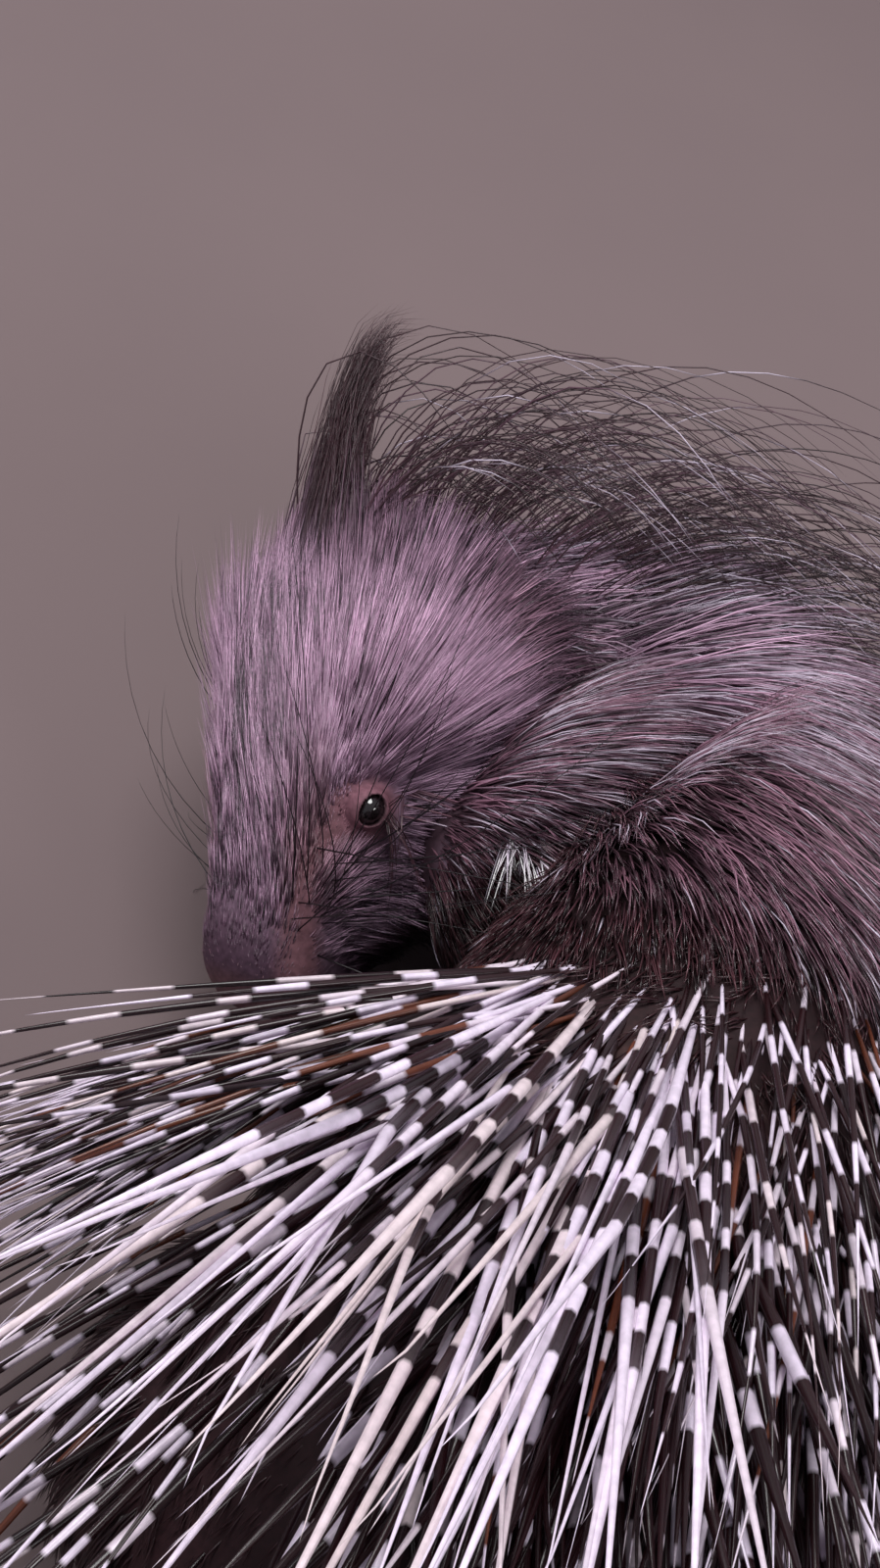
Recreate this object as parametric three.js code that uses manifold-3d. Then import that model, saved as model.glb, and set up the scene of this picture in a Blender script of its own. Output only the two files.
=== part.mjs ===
// A crested porcupine crouched on its belly, with its neck bent round to the left so that the head lies
// along the left flank. Millimetres, +Z up. The rump points along -Y and the right side lies along +X.
import * as THREE from 'three';
import * as BufferGeometryUtils from 'three/addons/utils/BufferGeometryUtils.js';
import Module from 'manifold-3d';

const wasm = await Module();
wasm.setup();

// Clearances and fineness
const GAP = 0.3;
const CLEAR = 0.35;
const BODY_SIDES = 22;
const RINGS_BETWEEN = 2;
const LIMB_SIDES = 11;
const FOOT_SIDES = 8;
const FOLD_SIDES = 12;
const TOE_SIDES = 5;
const CLAW_SIDES = 4;
const EYE_SIDES = 12;
const EAR_SIDES = 10;

// Head: the axis runs from the nose to the joint behind the ears
const NOSE = new THREE.Vector3(-20, -152, 38);
const HEAD_JOINT = new THREE.Vector3(-31.5, -33, 100.5);
const HEAD_ROLL = 45;
// Distance behind the nose, half width, height above the axis, depth below it
const HEAD_SHAPE = [
  [0, 11, 10, 10],
  [3, 19, 18, 18],
  [12, 25, 26, 25],
  [30, 28, 32, 35],
  [52, 32, 39, 45],
  [74, 38, 44, 53],
  [98, 43, 47, 58],
  [115, 44, 48, 58],
];
const HEAD_JOINT_SIZE = [44, 48, 56];
const HEAD_POWER = 2.2;

// Neck: an arc about an upright pivot, with angles from the shoulder (0) to the head (180)
const NECK_PIVOT = new THREE.Vector3(32, -44, 0);
// Angle, distance from the pivot, height of the middle, half width, height above, depth below, roll
const NECK_SHAPE = [
  [140, 45, 97, 40, 45, 56, 40],
  [100, 41, 93, 39, 45, 58, 28],
  [60, 46, 92, 43, 51, 63, 14],
  [25, 61, 92, 54, 60, 70, 4],
];
const NECK_POWER = 2.1;
const SHOULDER_JOINT = [79, 94, 61, 67, 74];
// The flesh of the throat and shoulder, pressed into a fold on the inside of the bend
const NECK_FOLD = { middle: new THREE.Vector3(46, -64, 84), size: [56, 62, 56] };

// Trunk: sections across Y, as y, x, height of the middle, half width, height above, depth below
const TRUNK_SHAPE = [
  [-70, 114, 94, 69, 80, 88],
  [-100, 117, 92, 77, 93, 98],
  [-138, 117, 92, 85, 106, 104],
  [-180, 114, 93, 92, 115, 104],
  [-222, 110, 94, 98, 121, 104],
  [-268, 106, 92, 102, 121, 102],
  [-312, 102, 86, 99, 108, 96],
  [-350, 98, 76, 86, 84, 84],
  [-380, 94, 64, 64, 58, 64],
  [-400, 92, 54, 42, 34, 42],
];
const TRUNK_POWER = 2.2;

// Tail: as the trunk, starting on its last section
const TAIL_SHAPE = [
  [-400, 92, 54, 42, 34, 42],
  [-416, 91, 48, 30, 25, 28],
  [-438, 89, 39, 21, 18, 19],
  [-456, 87, 33, 11, 9, 10],
];

// Limbs, each as offsets from the middle of the trunk
const FORE_LEG = {
  out: 57, y: -92, z: 62, size: [34, 40, 52], lower: { y: -62, z: 30, size: [17, 36, 19] },
};
const FORE_FOOT = { out: 50, y: -32, long: 56, wide: 34, high: 24, toes: 4 };
const HIND_LEG = {
  out: 78, y: -302, z: 62, size: [40, 62, 58], lower: { y: -286, z: 26, size: [19, 34, 20] },
};
const HIND_FOOT = { out: 78, y: -258, long: 96, wide: 40, high: 26, toes: 5 };
const TOE_LENGTH = 22;
const CLAW_LENGTH = 15;

// Head details
const EYE_RADIUS = 6.2;
const EYE_BEHIND_NOSE = 72;
const EYE_ANGLE = 62;
const EYE_SUNK = 3.4;
const EAR_BEHIND_NOSE = 108;
const EAR_ANGLE = 54;
const EAR_SIZE = [12, 16, 8.5];
const EAR_WALL = 3;
const MOUTH_DROP = 17;
const MOUTH_LENGTH = 34;
const MOUTH_GAP = 1.6;
const MOUTH_DEPTH = 3;
const NOSTRIL_OUT = 9;
const NOSTRIL_SIZE = [3.4, 2.2, 5];

const NOSTRIL_UP = 3;
const LID_THICK = 3;
const TOE_SPREAD = 13;
const TOE_STEP = 5;
const CLAW_TIP_HEIGHT = 1.2;

// How the quills lie at places of the back: y and angle of the place, then their bearing to the left of
// straight back, height above level, length and thickness. Between the places these blend.
const QUILL_LIE = [
  [-185, 78, 54, -8, 160, 3.2],
  [-190, 42, 48, 8, 210, 3.4],
  [-210, 28, 36, 10, 215, 3.6],
  [-185, 13, -4, 24, 215, 3.4],
  [-175, 0, -14, 24, 185, 3.0],
  [-160, -15, -20, 24, 170, 2.8],
  [-155, -42, -36, 16, 160, 2.8],
  [-175, -78, -54, -8, 145, 3.0],
  [-240, 70, 44, -12, 175, 3.6],
  [-250, 40, 29, 6, 215, 4.0],
  [-240, 15, -6, 22, 190, 4.4],
  [-240, 0, -12, 22, 155, 4.8],
  [-240, -32, -24, 18, 165, 4.0],
  [-250, -72, -42, -6, 160, 3.6],
  [-300, 72, 30, -14, 165, 3.8],
  [-300, 36, 14, 4, 190, 4.4],
  [-300, 0, -8, 18, 130, 5.4],
  [-300, -36, -20, 10, 150, 4.8],
  [-300, -72, -34, -8, 155, 3.8],
  [-370, 60, 22, -6, 115, 4.4],
  [-370, 0, -3, 10, 100, 5.8],
  [-370, -60, -24, -4, 115, 4.4],
];
const QUILL_BLEND = { degree: 1.6, near: 120, fall: 1.6 };
// The quills start further forward on the right of the back, which the bent neck stretches
const QUILL_FRONT = { right: -132, left: -172, from: -16, to: 45, flank: -160, flankFrom: -30, flankTo: -80 };
const QUILL_REAR = -392;
const QUILL_ROWS = 12;
const QUILLS_ACROSS = [10, 7];
const QUILL_ANGLE = 80;
const QUILL_SPREAD = { bearing: 10, height: 8, long: 0.16 };
const QUILL_WIDER = 1.4;
// How much the quills bend down towards the tip: thin ones most, those over the second thickness least
const QUILL_SAG = { thin: 0.42, stout: 0.08, from: 3.2, to: 4.6 };
// The longest quills, which start along the front of the left back and fall across the others
const LONG_QUILLS = {
  rows: [-184, -206], across: 5, angles: [6, 50], bearings: [-10, 17],
  height: 24, long: 285, thick: 3.4, sag: 0.12,
};
const QUILL_CLEAR = 0.14;
const QUILL_SUNK = 9;
const QUILL_BENDS_FROM = 150;
const QUILL_TRIES = 3;

// Bristle locks, each as rows, angle reached, length, width and lift off the skin at root and end
const SHOULDER_LOCKS = {
  rows: 4, from: -70, to: -154, across: 7, angle: 116, longs: [66, 38], wide: 28, lift: 0.34, lay: 0.06,
  sweeps: [-55, -20],
};
const FLANK_LOCKS = {
  rows: 4, from: -215, to: -370, across: 2, angles: [90, 118], long: 60, wide: 32, lift: 0.34, lay: 0.06,
};
const NECK_LOCKS = {
  rows: 5, from: 0.05, to: 0.92, across: 8, angles: [-138, 118], long: 74, wide: 28, lift: 0.34, lay: 0.06,
  sweeps: [-5, -50],
};
const CREST = { angle: 34, long: 165, wide: 15, lift: 1.05, lay: 0.05, lean: 0.3 };
const HEAD_LOCKS = {
  rows: 3, from: 50, to: 116, across: 7, angle: 104, longs: [32, 58], wide: 20, lift: 0.5, lay: 0.22,
};
const CROWN = {
  rows: 2, from: 108, to: 126, across: 4, angle: 30, long: 112, wide: 15, lift: 0.55, lay: 0.42,
};
const WHISKERS = {
  rows: 2, across: 3, behind: [16, 34], angles: [66, 106], long: [95, 140], thick: 1.3, sweep: [-4, 40],
  lift: 0.75, lay: 0.3,
};
const TAIL_QUILLS = { rows: 3, across: 6, long: 56, thick: 6, lift: 0.35 };
const LOCK_SUNK = 7;
const LOCK_THICK = 3;
const LOCK_SHAPE = [0.72, 1, 0.86];
const WHISKER_STEPS = 3;
const TRIES = 5;
const LIFT_STEP = 0.14;
const BARE_RADIUS = 17;
const BARE_AHEAD_OF_EAR = 8;

const UP = new THREE.Vector3(0, 0, 1);
const AXES = [new THREE.Vector3(1, 0, 0), new THREE.Vector3(0, 1, 0), UP];

// A repeatable random number from 0 to 1
function randomSource(seed) {
  let state = seed >>> 0;
  return () => {
    state = (state + 0x6d2b79f5) >>> 0;
    let t = Math.imul(state ^ (state >>> 15), 1 | state);
    t = (t + Math.imul(t ^ (t >>> 7), 61 | t)) ^ t;
    return ((t ^ (t >>> 14)) >>> 0) / 4294967296;
  };
}

function radians(degrees) {
  return degrees * Math.PI / 180;
}

function mix(a, b, t) {
  return a + (b - a) * t;
}

// 0 before the start, 1 past the end and a smooth step between
function smooth(start, end, value) {
  const t = Math.min(Math.max((value - start) / (end - start), 0), 1);
  return t * t * (3 - 2 * t);
}

// Closed meshes as solids, and solids as meshes
function solidOf(geometry) {
  const bare = geometry.clone();
  bare.deleteAttribute('normal');
  bare.deleteAttribute('uv');
  const merged = BufferGeometryUtils.mergeVertices(bare, 1e-4);
  const vertProperties = new Float32Array(merged.attributes.position.array);
  const triVerts = new Uint32Array(merged.index.array);
  return new wasm.Manifold(new wasm.Mesh({ numProp: 3, vertProperties, triVerts }));
}

function solidFrom(points, triangles) {
  const vertProperties = new Float32Array(points.flatMap((p) => [p.x, p.y, p.z]));
  const triVerts = new Uint32Array(triangles.flat());
  return new wasm.Manifold(new wasm.Mesh({ numProp: 3, vertProperties, triVerts }));
}

function largestPiece(solid) {
  const pieces = solid.decompose();
  return pieces.reduce((best, piece) => (piece.volume() > best.volume() ? piece : best));
}

function joined(solids) {
  return wasm.Manifold.union(solids);
}

function meshOf(name, solid, material) {
  const { vertProperties, triVerts } = largestPiece(solid).getMesh();
  const geometry = new THREE.BufferGeometry();
  geometry.setAttribute('position', new THREE.BufferAttribute(vertProperties, 3));
  geometry.setIndex(new THREE.BufferAttribute(triVerts, 1));
  geometry.computeVertexNormals();
  const mesh = new THREE.Mesh(geometry, material);
  mesh.name = name;
  return mesh;
}

// One station of a loft: middle, facing, roll, half width, height above, depth below
function station(middle, facing, roll, wide, above, below) {
  return { middle, facing: facing.clone().normalize(), roll, wide, above, below };
}

function stationAxes(s) {
  const level = UP.clone().cross(s.facing).normalize();
  const top = s.facing.clone().cross(level).normalize();
  const c = Math.cos(radians(s.roll));
  const d = Math.sin(radians(s.roll));
  const up = top.clone().multiplyScalar(c).addScaledVector(level, -d);
  const left = level.clone().multiplyScalar(c).addScaledVector(top, d);
  return { up, left };
}

// A smooth value between neighbours b and c
function curveValue(a, b, c, d, t) {
  const start = (c - a) / 2;
  const end = (d - b) / 2;
  const t2 = t * t;
  const t3 = t2 * t;
  return b * (2 * t3 - 3 * t2 + 1) + start * (t3 - 2 * t2 + t) + c * (3 * t2 - 2 * t3) + end * (t3 - t2);
}

// A body form through a list of stations, front to rear
class Loft {
  constructor(stations, power) {
    this.stations = stations;
    this.power = power;
  }

  // The section at u, from 0 at the front to 1 at the rear
  section(u) {
    const last = this.stations.length - 1;
    const place = Math.min(Math.max(u, 0), 1) * last;
    const i = Math.min(Math.floor(place), last - 1);
    const near = [i - 1, i, i + 1, i + 2].map((k) => this.stations[Math.min(Math.max(k, 0), last)]);
    const at = (read) => curveValue(...near.map(read), place - i);
    const vector = (key) => new THREE.Vector3(
      at((s) => s[key].x),
      at((s) => s[key].y),
      at((s) => s[key].z),
    );
    return station(
      vector('middle'),
      vector('facing'),
      at((s) => s.roll),
      at((s) => s.wide),
      at((s) => s.above),
      at((s) => s.below),
    );
  }

  // A point of the surface; the angle runs from the back line (0) to the left (90) and right (-90)
  point(u, angle, grow = 0) {
    const s = this.section(u);
    const { up, left } = stationAxes(s);
    const a = radians(angle);
    const bend = (v) => Math.sign(v) * Math.abs(v) ** (2 / this.power);
    const across = bend(Math.sin(a)) * (s.wide + grow);
    const rise = bend(Math.cos(a)) * ((Math.cos(a) > 0 ? s.above : s.below) + grow);
    return s.middle.clone().addScaledVector(left, across).addScaledVector(up, rise);
  }

  // The surface's point, outward normal and rearward direction
  frame(u, angle) {
    const step = 0.01;
    const here = this.point(u, angle);
    const ahead = this.point(Math.max(u - step, 0), angle);
    const rear = this.point(Math.min(u + step, 1), angle).sub(ahead).normalize();
    const round = this.point(u, angle + 1).sub(this.point(u, angle - 1)).normalize();
    const out = rear.clone().cross(round).normalize();
    if (out.dot(here.clone().sub(this.section(u).middle)) < 0) {
      out.negate();
    }
    return { here, rear, out, round };
  }

  solid(grow = 0) {
    const sides = BODY_SIDES;
    const rings = (this.stations.length - 1) * RINGS_BETWEEN;
    const floor = grow > 0 ? -1 : 0;
    const points = [];
    const triangles = [];
    for (let r = 0; r <= rings; r += 1) {
      for (let k = 0; k < sides; k += 1) {
        const p = this.point(r / rings, 360 * k / sides, grow);
        p.z = Math.max(p.z, floor);
        points.push(p);
      }
    }
    const at = (r, k) => r * sides + (k % sides);
    for (let r = 0; r < rings; r += 1) {
      for (let k = 0; k < sides; k += 1) {
        triangles.push(...quadTriangles(at(r, k), at(r, k + 1), at(r + 1, k + 1), at(r + 1, k)));
      }
    }
    const front = points.push(this.section(0).middle) - 1;
    const rear = points.push(this.section(1).middle) - 1;
    for (let k = 0; k < sides; k += 1) {
      triangles.push([front, at(0, k + 1), at(0, k)], [rear, at(rings, k), at(rings, k + 1)]);
    }
    return facingOut(points, triangles);
  }
}

function quadTriangles(a, b, c, d) {
  return [[a, b, c], [a, c, d]];
}

// Turns the triangles over if the volume comes out negative
function facingOut(points, triangles) {
  let volume = 0;
  for (const [a, b, c] of triangles) {
    volume += points[a].dot(points[b].clone().cross(points[c]));
  }
  const turned = volume < 0 ? triangles.map(([a, b, c]) => [a, c, b]) : triangles;
  return solidFrom(points, turned);
}

// An ellipsoid with its radii along three axes
function ellipsoid(middle, radii, axes, sides) {
  const geometry = new THREE.SphereGeometry(1, sides, Math.round(sides * 0.6));
  const third = axes[0].clone().cross(axes[1]);
  const matrix = new THREE.Matrix4().makeBasis(
    axes[0].clone().multiplyScalar(radii[0]),
    axes[1].clone().multiplyScalar(radii[1]),
    third.multiplyScalar(radii[2]),
  );
  matrix.setPosition(middle);
  geometry.applyMatrix4(matrix);
  return solidOf(geometry);
}

function block(middle, size) {
  const geometry = new THREE.BoxGeometry(...size);
  geometry.translate(middle.x, middle.y, middle.z);
  return solidOf(geometry);
}

const underFloor = block(new THREE.Vector3(100, -200, -50), [1200, 1200, 100]);

// Body forms
const headAxis = NOSE.clone().sub(HEAD_JOINT).normalize();
const headLength = NOSE.distanceTo(HEAD_JOINT);
const jointFacing = headAxis.clone().add(new THREE.Vector3(0, -1, 0)).normalize();
const headJoint = station(HEAD_JOINT, jointFacing, HEAD_ROLL, ...HEAD_JOINT_SIZE);

function headForm() {
  const stations = HEAD_SHAPE.map(([behind, wide, above, below]) => {
    const middle = NOSE.clone().addScaledVector(headAxis, -behind);
    return station(middle, headAxis, HEAD_ROLL, wide, above, below);
  });
  const seat = headJoint.middle.clone().addScaledVector(jointFacing, GAP);
  stations.push({ ...headJoint, middle: seat });
  return new Loft(stations, HEAD_POWER);
}

function neckForm() {
  const turned = ([angle, away, height, wide, above, below, roll]) => {
    const a = radians(angle);
    const out = new THREE.Vector3(Math.cos(a), Math.sin(a), 0);
    const middle = NECK_PIVOT.clone().addScaledVector(out, away);
    middle.z = height;
    return station(middle, new THREE.Vector3(-out.y, out.x, 0), roll, wide, above, below);
  };
  const [away, height, wide, above, below] = SHOULDER_JOINT;
  const shoulder = turned([0, away, height, wide, above, below, 0]);
  shoulder.middle.y += GAP;
  return new Loft([headJoint, ...NECK_SHAPE.map(turned), shoulder], NECK_POWER);
}

function acrossY([y, x, z, wide, above, below]) {
  return station(new THREE.Vector3(x, y, z), new THREE.Vector3(0, 1, 0), 0, wide, above, below);
}

function trunkForm() {
  const [away, height, wide, above, below] = SHOULDER_JOINT;
  const front = [NECK_PIVOT.y, NECK_PIVOT.x + away, height, wide, above, below];
  return new Loft([front, ...TRUNK_SHAPE].map(acrossY), TRUNK_POWER);
}

function tailForm() {
  const stations = TAIL_SHAPE.map(acrossY);
  stations[0].middle.y -= GAP;
  return new Loft(stations, TRUNK_POWER);
}

const head = headForm();
const neck = neckForm();
const trunk = trunkForm();
const tail = tailForm();

// Where the trunk's middle runs at a given Y
function trunkMiddle(y) {
  let low = 0;
  let high = 1;
  for (let k = 0; k < 24; k += 1) {
    const half = (low + high) / 2;
    if (trunk.section(half).middle.y > y) {
      low = half;
    } else {
      high = half;
    }
  }
  return { u: low, x: trunk.section(low).middle.x };
}

// The direction of a path at its place r
function alongPath(path, r) {
  return path[Math.min(r + 1, path.length - 1)].clone().sub(path[Math.max(r - 1, 0)]).normalize();
}

// A round bar of falling radius through the path, ending in a point at its last place
function taperedBar(path, radii, sides) {
  const points = [];
  const triangles = [];
  radii.forEach((radius, r) => {
    const along = alongPath(path, r);
    const level = Math.abs(along.z) > 0.95 ? new THREE.Vector3(1, 0, 0) : UP;
    const across = along.clone().cross(level).normalize();
    const over = across.clone().cross(along).normalize();
    for (let k = 0; k < sides; k += 1) {
      const a = 2 * Math.PI * k / sides;
      const spoke = across.clone().multiplyScalar(Math.cos(a)).addScaledVector(over, Math.sin(a));
      points.push(path[r].clone().addScaledVector(spoke, radius));
    }
  });
  return pointedStrip(points, triangles, path, radii.length, sides);
}

// Closes rings of points into a body with a flat root and a pointed end
function pointedStrip(points, triangles, path, rings, sides) {
  const at = (r, k) => r * sides + (k % sides);
  for (let r = 0; r < rings - 1; r += 1) {
    for (let k = 0; k < sides; k += 1) {
      triangles.push(...quadTriangles(at(r, k), at(r, k + 1), at(r + 1, k + 1), at(r + 1, k)));
    }
  }
  const tip = points.push(path[path.length - 1].clone()) - 1;
  for (let k = 0; k < sides; k += 1) {
    triangles.push([at(rings - 1, k), at(rings - 1, k + 1), tip]);
  }
  for (let k = 1; k < sides - 1; k += 1) {
    triangles.push([at(0, 0), at(0, k + 1), at(0, k)]);
  }
  return facingOut(points, triangles);
}

// Limbs: side is 1 for the animal's right and -1 for its left
function limbForm({ out, y, z, size, lower }, side, grow = 0) {
  const x = trunkMiddle(y).x + side * out;
  const upperLimb = ellipsoid(new THREE.Vector3(x, y, z), size.map((r) => r + grow), AXES, LIMB_SIDES);
  const wrist = new THREE.Vector3(x, lower.y, lower.z);
  const lowerLimb = ellipsoid(wrist, lower.size.map((r) => r + grow), AXES, LIMB_SIDES);
  return upperLimb.add(lowerLimb);
}

// A claw that curves down from a toe to just above the floor
function claw(root, ahead, radius) {
  const tip = root.clone().addScaledVector(ahead, CLAW_LENGTH);
  tip.z = CLAW_TIP_HEIGHT;
  const bend = root.clone().lerp(tip, 0.5);
  bend.z += radius * 0.9;
  return taperedBar([root, bend, tip], [radius, radius * 0.75], CLAW_SIDES);
}

function toe(root, ahead, radius, grow) {
  const across = new THREE.Vector3(ahead.y, -ahead.x, 0);
  const size = [radius + grow, TOE_LENGTH / 2 + grow, radius * 1.1 + grow];
  const pad = ellipsoid(root, size, [across, ahead, UP], TOE_SIDES);
  const clawRoot = root.clone().addScaledVector(ahead, TOE_LENGTH * 0.3);
  return pad.add(claw(clawRoot, ahead, radius * 0.55 + grow));
}

function footForm({ out, y, long, wide, high, toes }, side, grow = 0) {
  const x = trunkMiddle(y).x + side * out;
  const sole = new THREE.Vector3(x, y - long * 0.1, high * 0.3);
  const heel = new THREE.Vector3(x, y - long * 0.26, high * 0.6);
  const pieces = [
    ellipsoid(sole, [wide / 2 + grow, long / 2 + grow, high * 0.7 + grow], AXES, FOOT_SIDES),
    ellipsoid(heel, [wide * 0.42 + grow, long * 0.26 + grow, high * 0.72 + grow], AXES, FOOT_SIDES),
  ];
  const radius = wide / toes * 0.56;
  for (let k = 0; k < toes; k += 1) {
    const spread = (k / (toes - 1) - 0.5) * 2;
    const turn = radians(TOE_SPREAD * spread);
    const ahead = new THREE.Vector3(Math.sin(turn), Math.cos(turn), 0);
    const root = new THREE.Vector3(
      x + spread * (wide / 2 - radius),
      y + long * 0.32 - Math.abs(spread) * TOE_STEP,
      radius * 0.9,
    );
    pieces.push(toe(root, ahead, radius, grow));
  }
  return joined(pieces).subtract(underFloor);
}

// Axes and place of something set on the head at an angle from its back line
function onHead(behind, angle) {
  const u = headPlace(behind);
  const { here, rear, out } = head.frame(u, angle);
  const round = out.clone().cross(rear).normalize();
  return { here, rear, out, round };
}

function headPlace(behind) {
  let low = 0;
  let high = 1;
  for (let k = 0; k < 24; k += 1) {
    const half = (low + high) / 2;
    if (head.section(half).middle.distanceTo(NOSE) < behind) {
      low = half;
    } else {
      high = half;
    }
  }
  return low;
}

function eyePlace(side) {
  const place = onHead(EYE_BEHIND_NOSE, side * EYE_ANGLE);
  place.middle = place.here.clone().addScaledVector(place.out, -EYE_SUNK);
  return place;
}

function eyeball(side, grow = 0) {
  const { middle, rear, out, round } = eyePlace(side);
  const r = EYE_RADIUS + grow;
  return ellipsoid(middle, [r, r, r], [rear, round, out], EYE_SIDES);
}

// The ring of both lids round an eye
function lids(side) {
  const { here, rear, out, round } = eyePlace(side);
  const geometry = new THREE.TorusGeometry(EYE_RADIUS, LID_THICK / 2, 6, 16);
  const matrix = new THREE.Matrix4().makeBasis(rear.clone().multiplyScalar(1.12), round, out);
  matrix.setPosition(here.clone().addScaledVector(out, -0.4));
  geometry.applyMatrix4(matrix);
  return solidOf(geometry);
}

// A cup open towards the side and the front
function earCup(side) {
  const { here, rear, out, round } = onHead(EAR_BEHIND_NOSE, side * EAR_ANGLE);
  const tall = rear.clone().multiplyScalar(0.75).addScaledVector(out, 0.66).normalize();
  const wide = round.clone();
  const face = wide.clone().cross(tall).normalize();
  if (face.dot(out) < 0) {
    face.negate();
    wide.negate();
  }
  const middle = here.clone().addScaledVector(tall, EAR_SIZE[1] * 0.7);
  const outer = ellipsoid(middle, EAR_SIZE, [wide, tall, face], EAR_SIDES);
  const hollowMiddle = middle.clone().addScaledVector(face, EAR_SIZE[2] * 0.75);
  const hollowSize = EAR_SIZE.map((r) => r - EAR_WALL * 0.6);
  const hollow = ellipsoid(hollowMiddle, hollowSize, [wide, tall, face], EAR_SIDES);
  return outer.subtract(hollow);
}

// The line of the mouth between raised lips, cut round the lower muzzle
function mouthSlab(thick) {
  const { up, left } = stationAxes(head.section(0));
  const middle = NOSE.clone()
    .addScaledVector(up, -MOUTH_DROP)
    .addScaledVector(headAxis, 10 - MOUTH_LENGTH / 2);
  const geometry = new THREE.BoxGeometry(80, thick, MOUTH_LENGTH + 20);
  const matrix = new THREE.Matrix4().makeBasis(left, up, left.clone().cross(up));
  matrix.setPosition(middle);
  geometry.applyMatrix4(matrix);
  return solidOf(geometry);
}

function nostril(side) {
  const { up, left } = stationAxes(head.section(0));
  const middle = NOSE.clone()
    .addScaledVector(left, side * NOSTRIL_OUT)
    .addScaledVector(up, NOSTRIL_UP)
    .addScaledVector(headAxis, -NOSTRIL_SIZE[0]);
  const tilt = up.clone().addScaledVector(left, -side * 0.5).normalize();
  const across = headAxis.clone().cross(tilt).normalize();
  return ellipsoid(middle, NOSTRIL_SIZE, [across, tilt, across.clone().cross(tilt)], 10);
}

function headSolid() {
  const skull = head.solid();
  const lips = mouthSlab(MOUTH_GAP + 7).intersect(head.solid(0.9));
  const groove = mouthSlab(MOUTH_GAP).intersect(head.solid(4)).subtract(head.solid(-MOUTH_DEPTH));
  return joined([skull, lips, lids(1), lids(-1)])
    .subtract(groove)
    .subtract(joined([nostril(1), nostril(-1)]))
    .subtract(joined([eyeball(1, GAP), eyeball(-1, GAP)]));
}

// A flat tapered lock: a bent strip, thickest along its middle
function lockBar(path, widths, thick, out) {
  const points = [];
  widths.forEach((wide, r) => {
    const along = alongPath(path, r);
    const across = along.clone().cross(out).normalize();
    const over = across.clone().cross(along).normalize();
    points.push(
      path[r].clone().addScaledVector(across, wide / 2),
      path[r].clone().addScaledVector(over, thick / 2),
      path[r].clone().addScaledVector(across, -wide / 2),
      path[r].clone().addScaledVector(over, -thick / 2),
    );
  });
  return pointedStrip(points, [], path, widths.length, 4);
}

// A path that starts one way and bends towards another
function bentPath(root, start, end, long, sunk, steps) {
  const path = [root.clone().addScaledVector(start, -sunk)];
  const place = root.clone();
  for (let k = 1; k <= steps; k += 1) {
    const way = start.clone().lerp(end, (k - 0.5) / steps).normalize();
    place.addScaledVector(way, long / steps);
    path.push(place.clone());
  }
  return path;
}

// A quill of three sides, thickest part of the way along; a long one bends a little
function quill(root, start, end, long, thick, grow) {
  const shape = long > QUILL_BENDS_FROM ? [0.36, 0.56, 0.42] : [0.4, 0.55];
  const path = bentPath(root, start, end, long, QUILL_SUNK, shape.length);
  return taperedBar(path, shape.map((part) => thick * part + grow), 3);
}

function lock(root, start, end, long, wide, out, grow) {
  const path = bentPath(root, start, end, long, LOCK_SUNK, 3);
  const widths = LOCK_SHAPE.map((part) => wide * part + 2 * grow);
  return lockBar(path, widths, LOCK_THICK + 2 * grow, out);
}

// Locks leave the eyes and ears free
const BARE_PLACES = [1, -1].flatMap((side) => [
  eyePlace(side).here,
  onHead(EAR_BEHIND_NOSE - BARE_AHEAD_OF_EAR, side * EAR_ANGLE).here,
]);

// The quills or locks of one node, each lifted until it keeps clear of the other nodes
class Coat {
  constructor(others) {
    this.others = others;
    this.pieces = [];
    this.grown = [];
  }

  add(make, tries = TRIES) {
    for (let k = 0; k < tries; k += 1) {
      const lift = k * LIFT_STEP;
      const grown = make(lift, CLEAR);
      const clear = this.others.every((other) => grown.intersect(other).isEmpty());
      if (clear && grown.boundingBox().min[2] > 1) {
        this.pieces.push(make(lift, 0));
        this.grown.push(grown);
        return;
      }
    }
  }

  // Adds a lock that starts with one lift off the skin and ends with another, leaning to one side at its root
  // and turned to the left of straight back by sweep
  lock({ here, rear, out, round }, { long, wide, lift, lay, lean = 0, sweep = 0 }) {
    if (BARE_PLACES.some((place) => place.distanceTo(here) < BARE_RADIUS)) {
      return;
    }
    const turn = radians(sweep);
    const way = rear.clone().multiplyScalar(Math.cos(turn)).addScaledVector(round, Math.sin(turn));
    this.add((more, grow) => {
      const start = way.clone().addScaledVector(out, lift + more).addScaledVector(round, lean).normalize();
      const end = way.clone().addScaledVector(out, lay + more).normalize();
      return lock(here, start, end, long, wide, out, grow);
    });
  }
}

// Bearing, height, length and thickness of the quills at a place, blended from those of QUILL_LIE
function quillLie(y, angle) {
  const sums = [0, 0, 0, 0];
  let total = 0;
  for (const [placeY, placeAngle, ...lie] of QUILL_LIE) {
    const far = (y - placeY) ** 2 + ((angle - placeAngle) * QUILL_BLEND.degree) ** 2;
    const weight = 1 / (far + QUILL_BLEND.near) ** QUILL_BLEND.fall;
    total += weight;
    lie.forEach((value, i) => {
      sums[i] += value * weight;
    });
  }
  return sums.map((value) => value / total);
}

function quillFront(angle) {
  const { right, left, from, to, flank, flankFrom, flankTo } = QUILL_FRONT;
  return mix(mix(right, left, smooth(from, to, angle)), flank, smooth(flankFrom, flankTo, angle));
}

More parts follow.
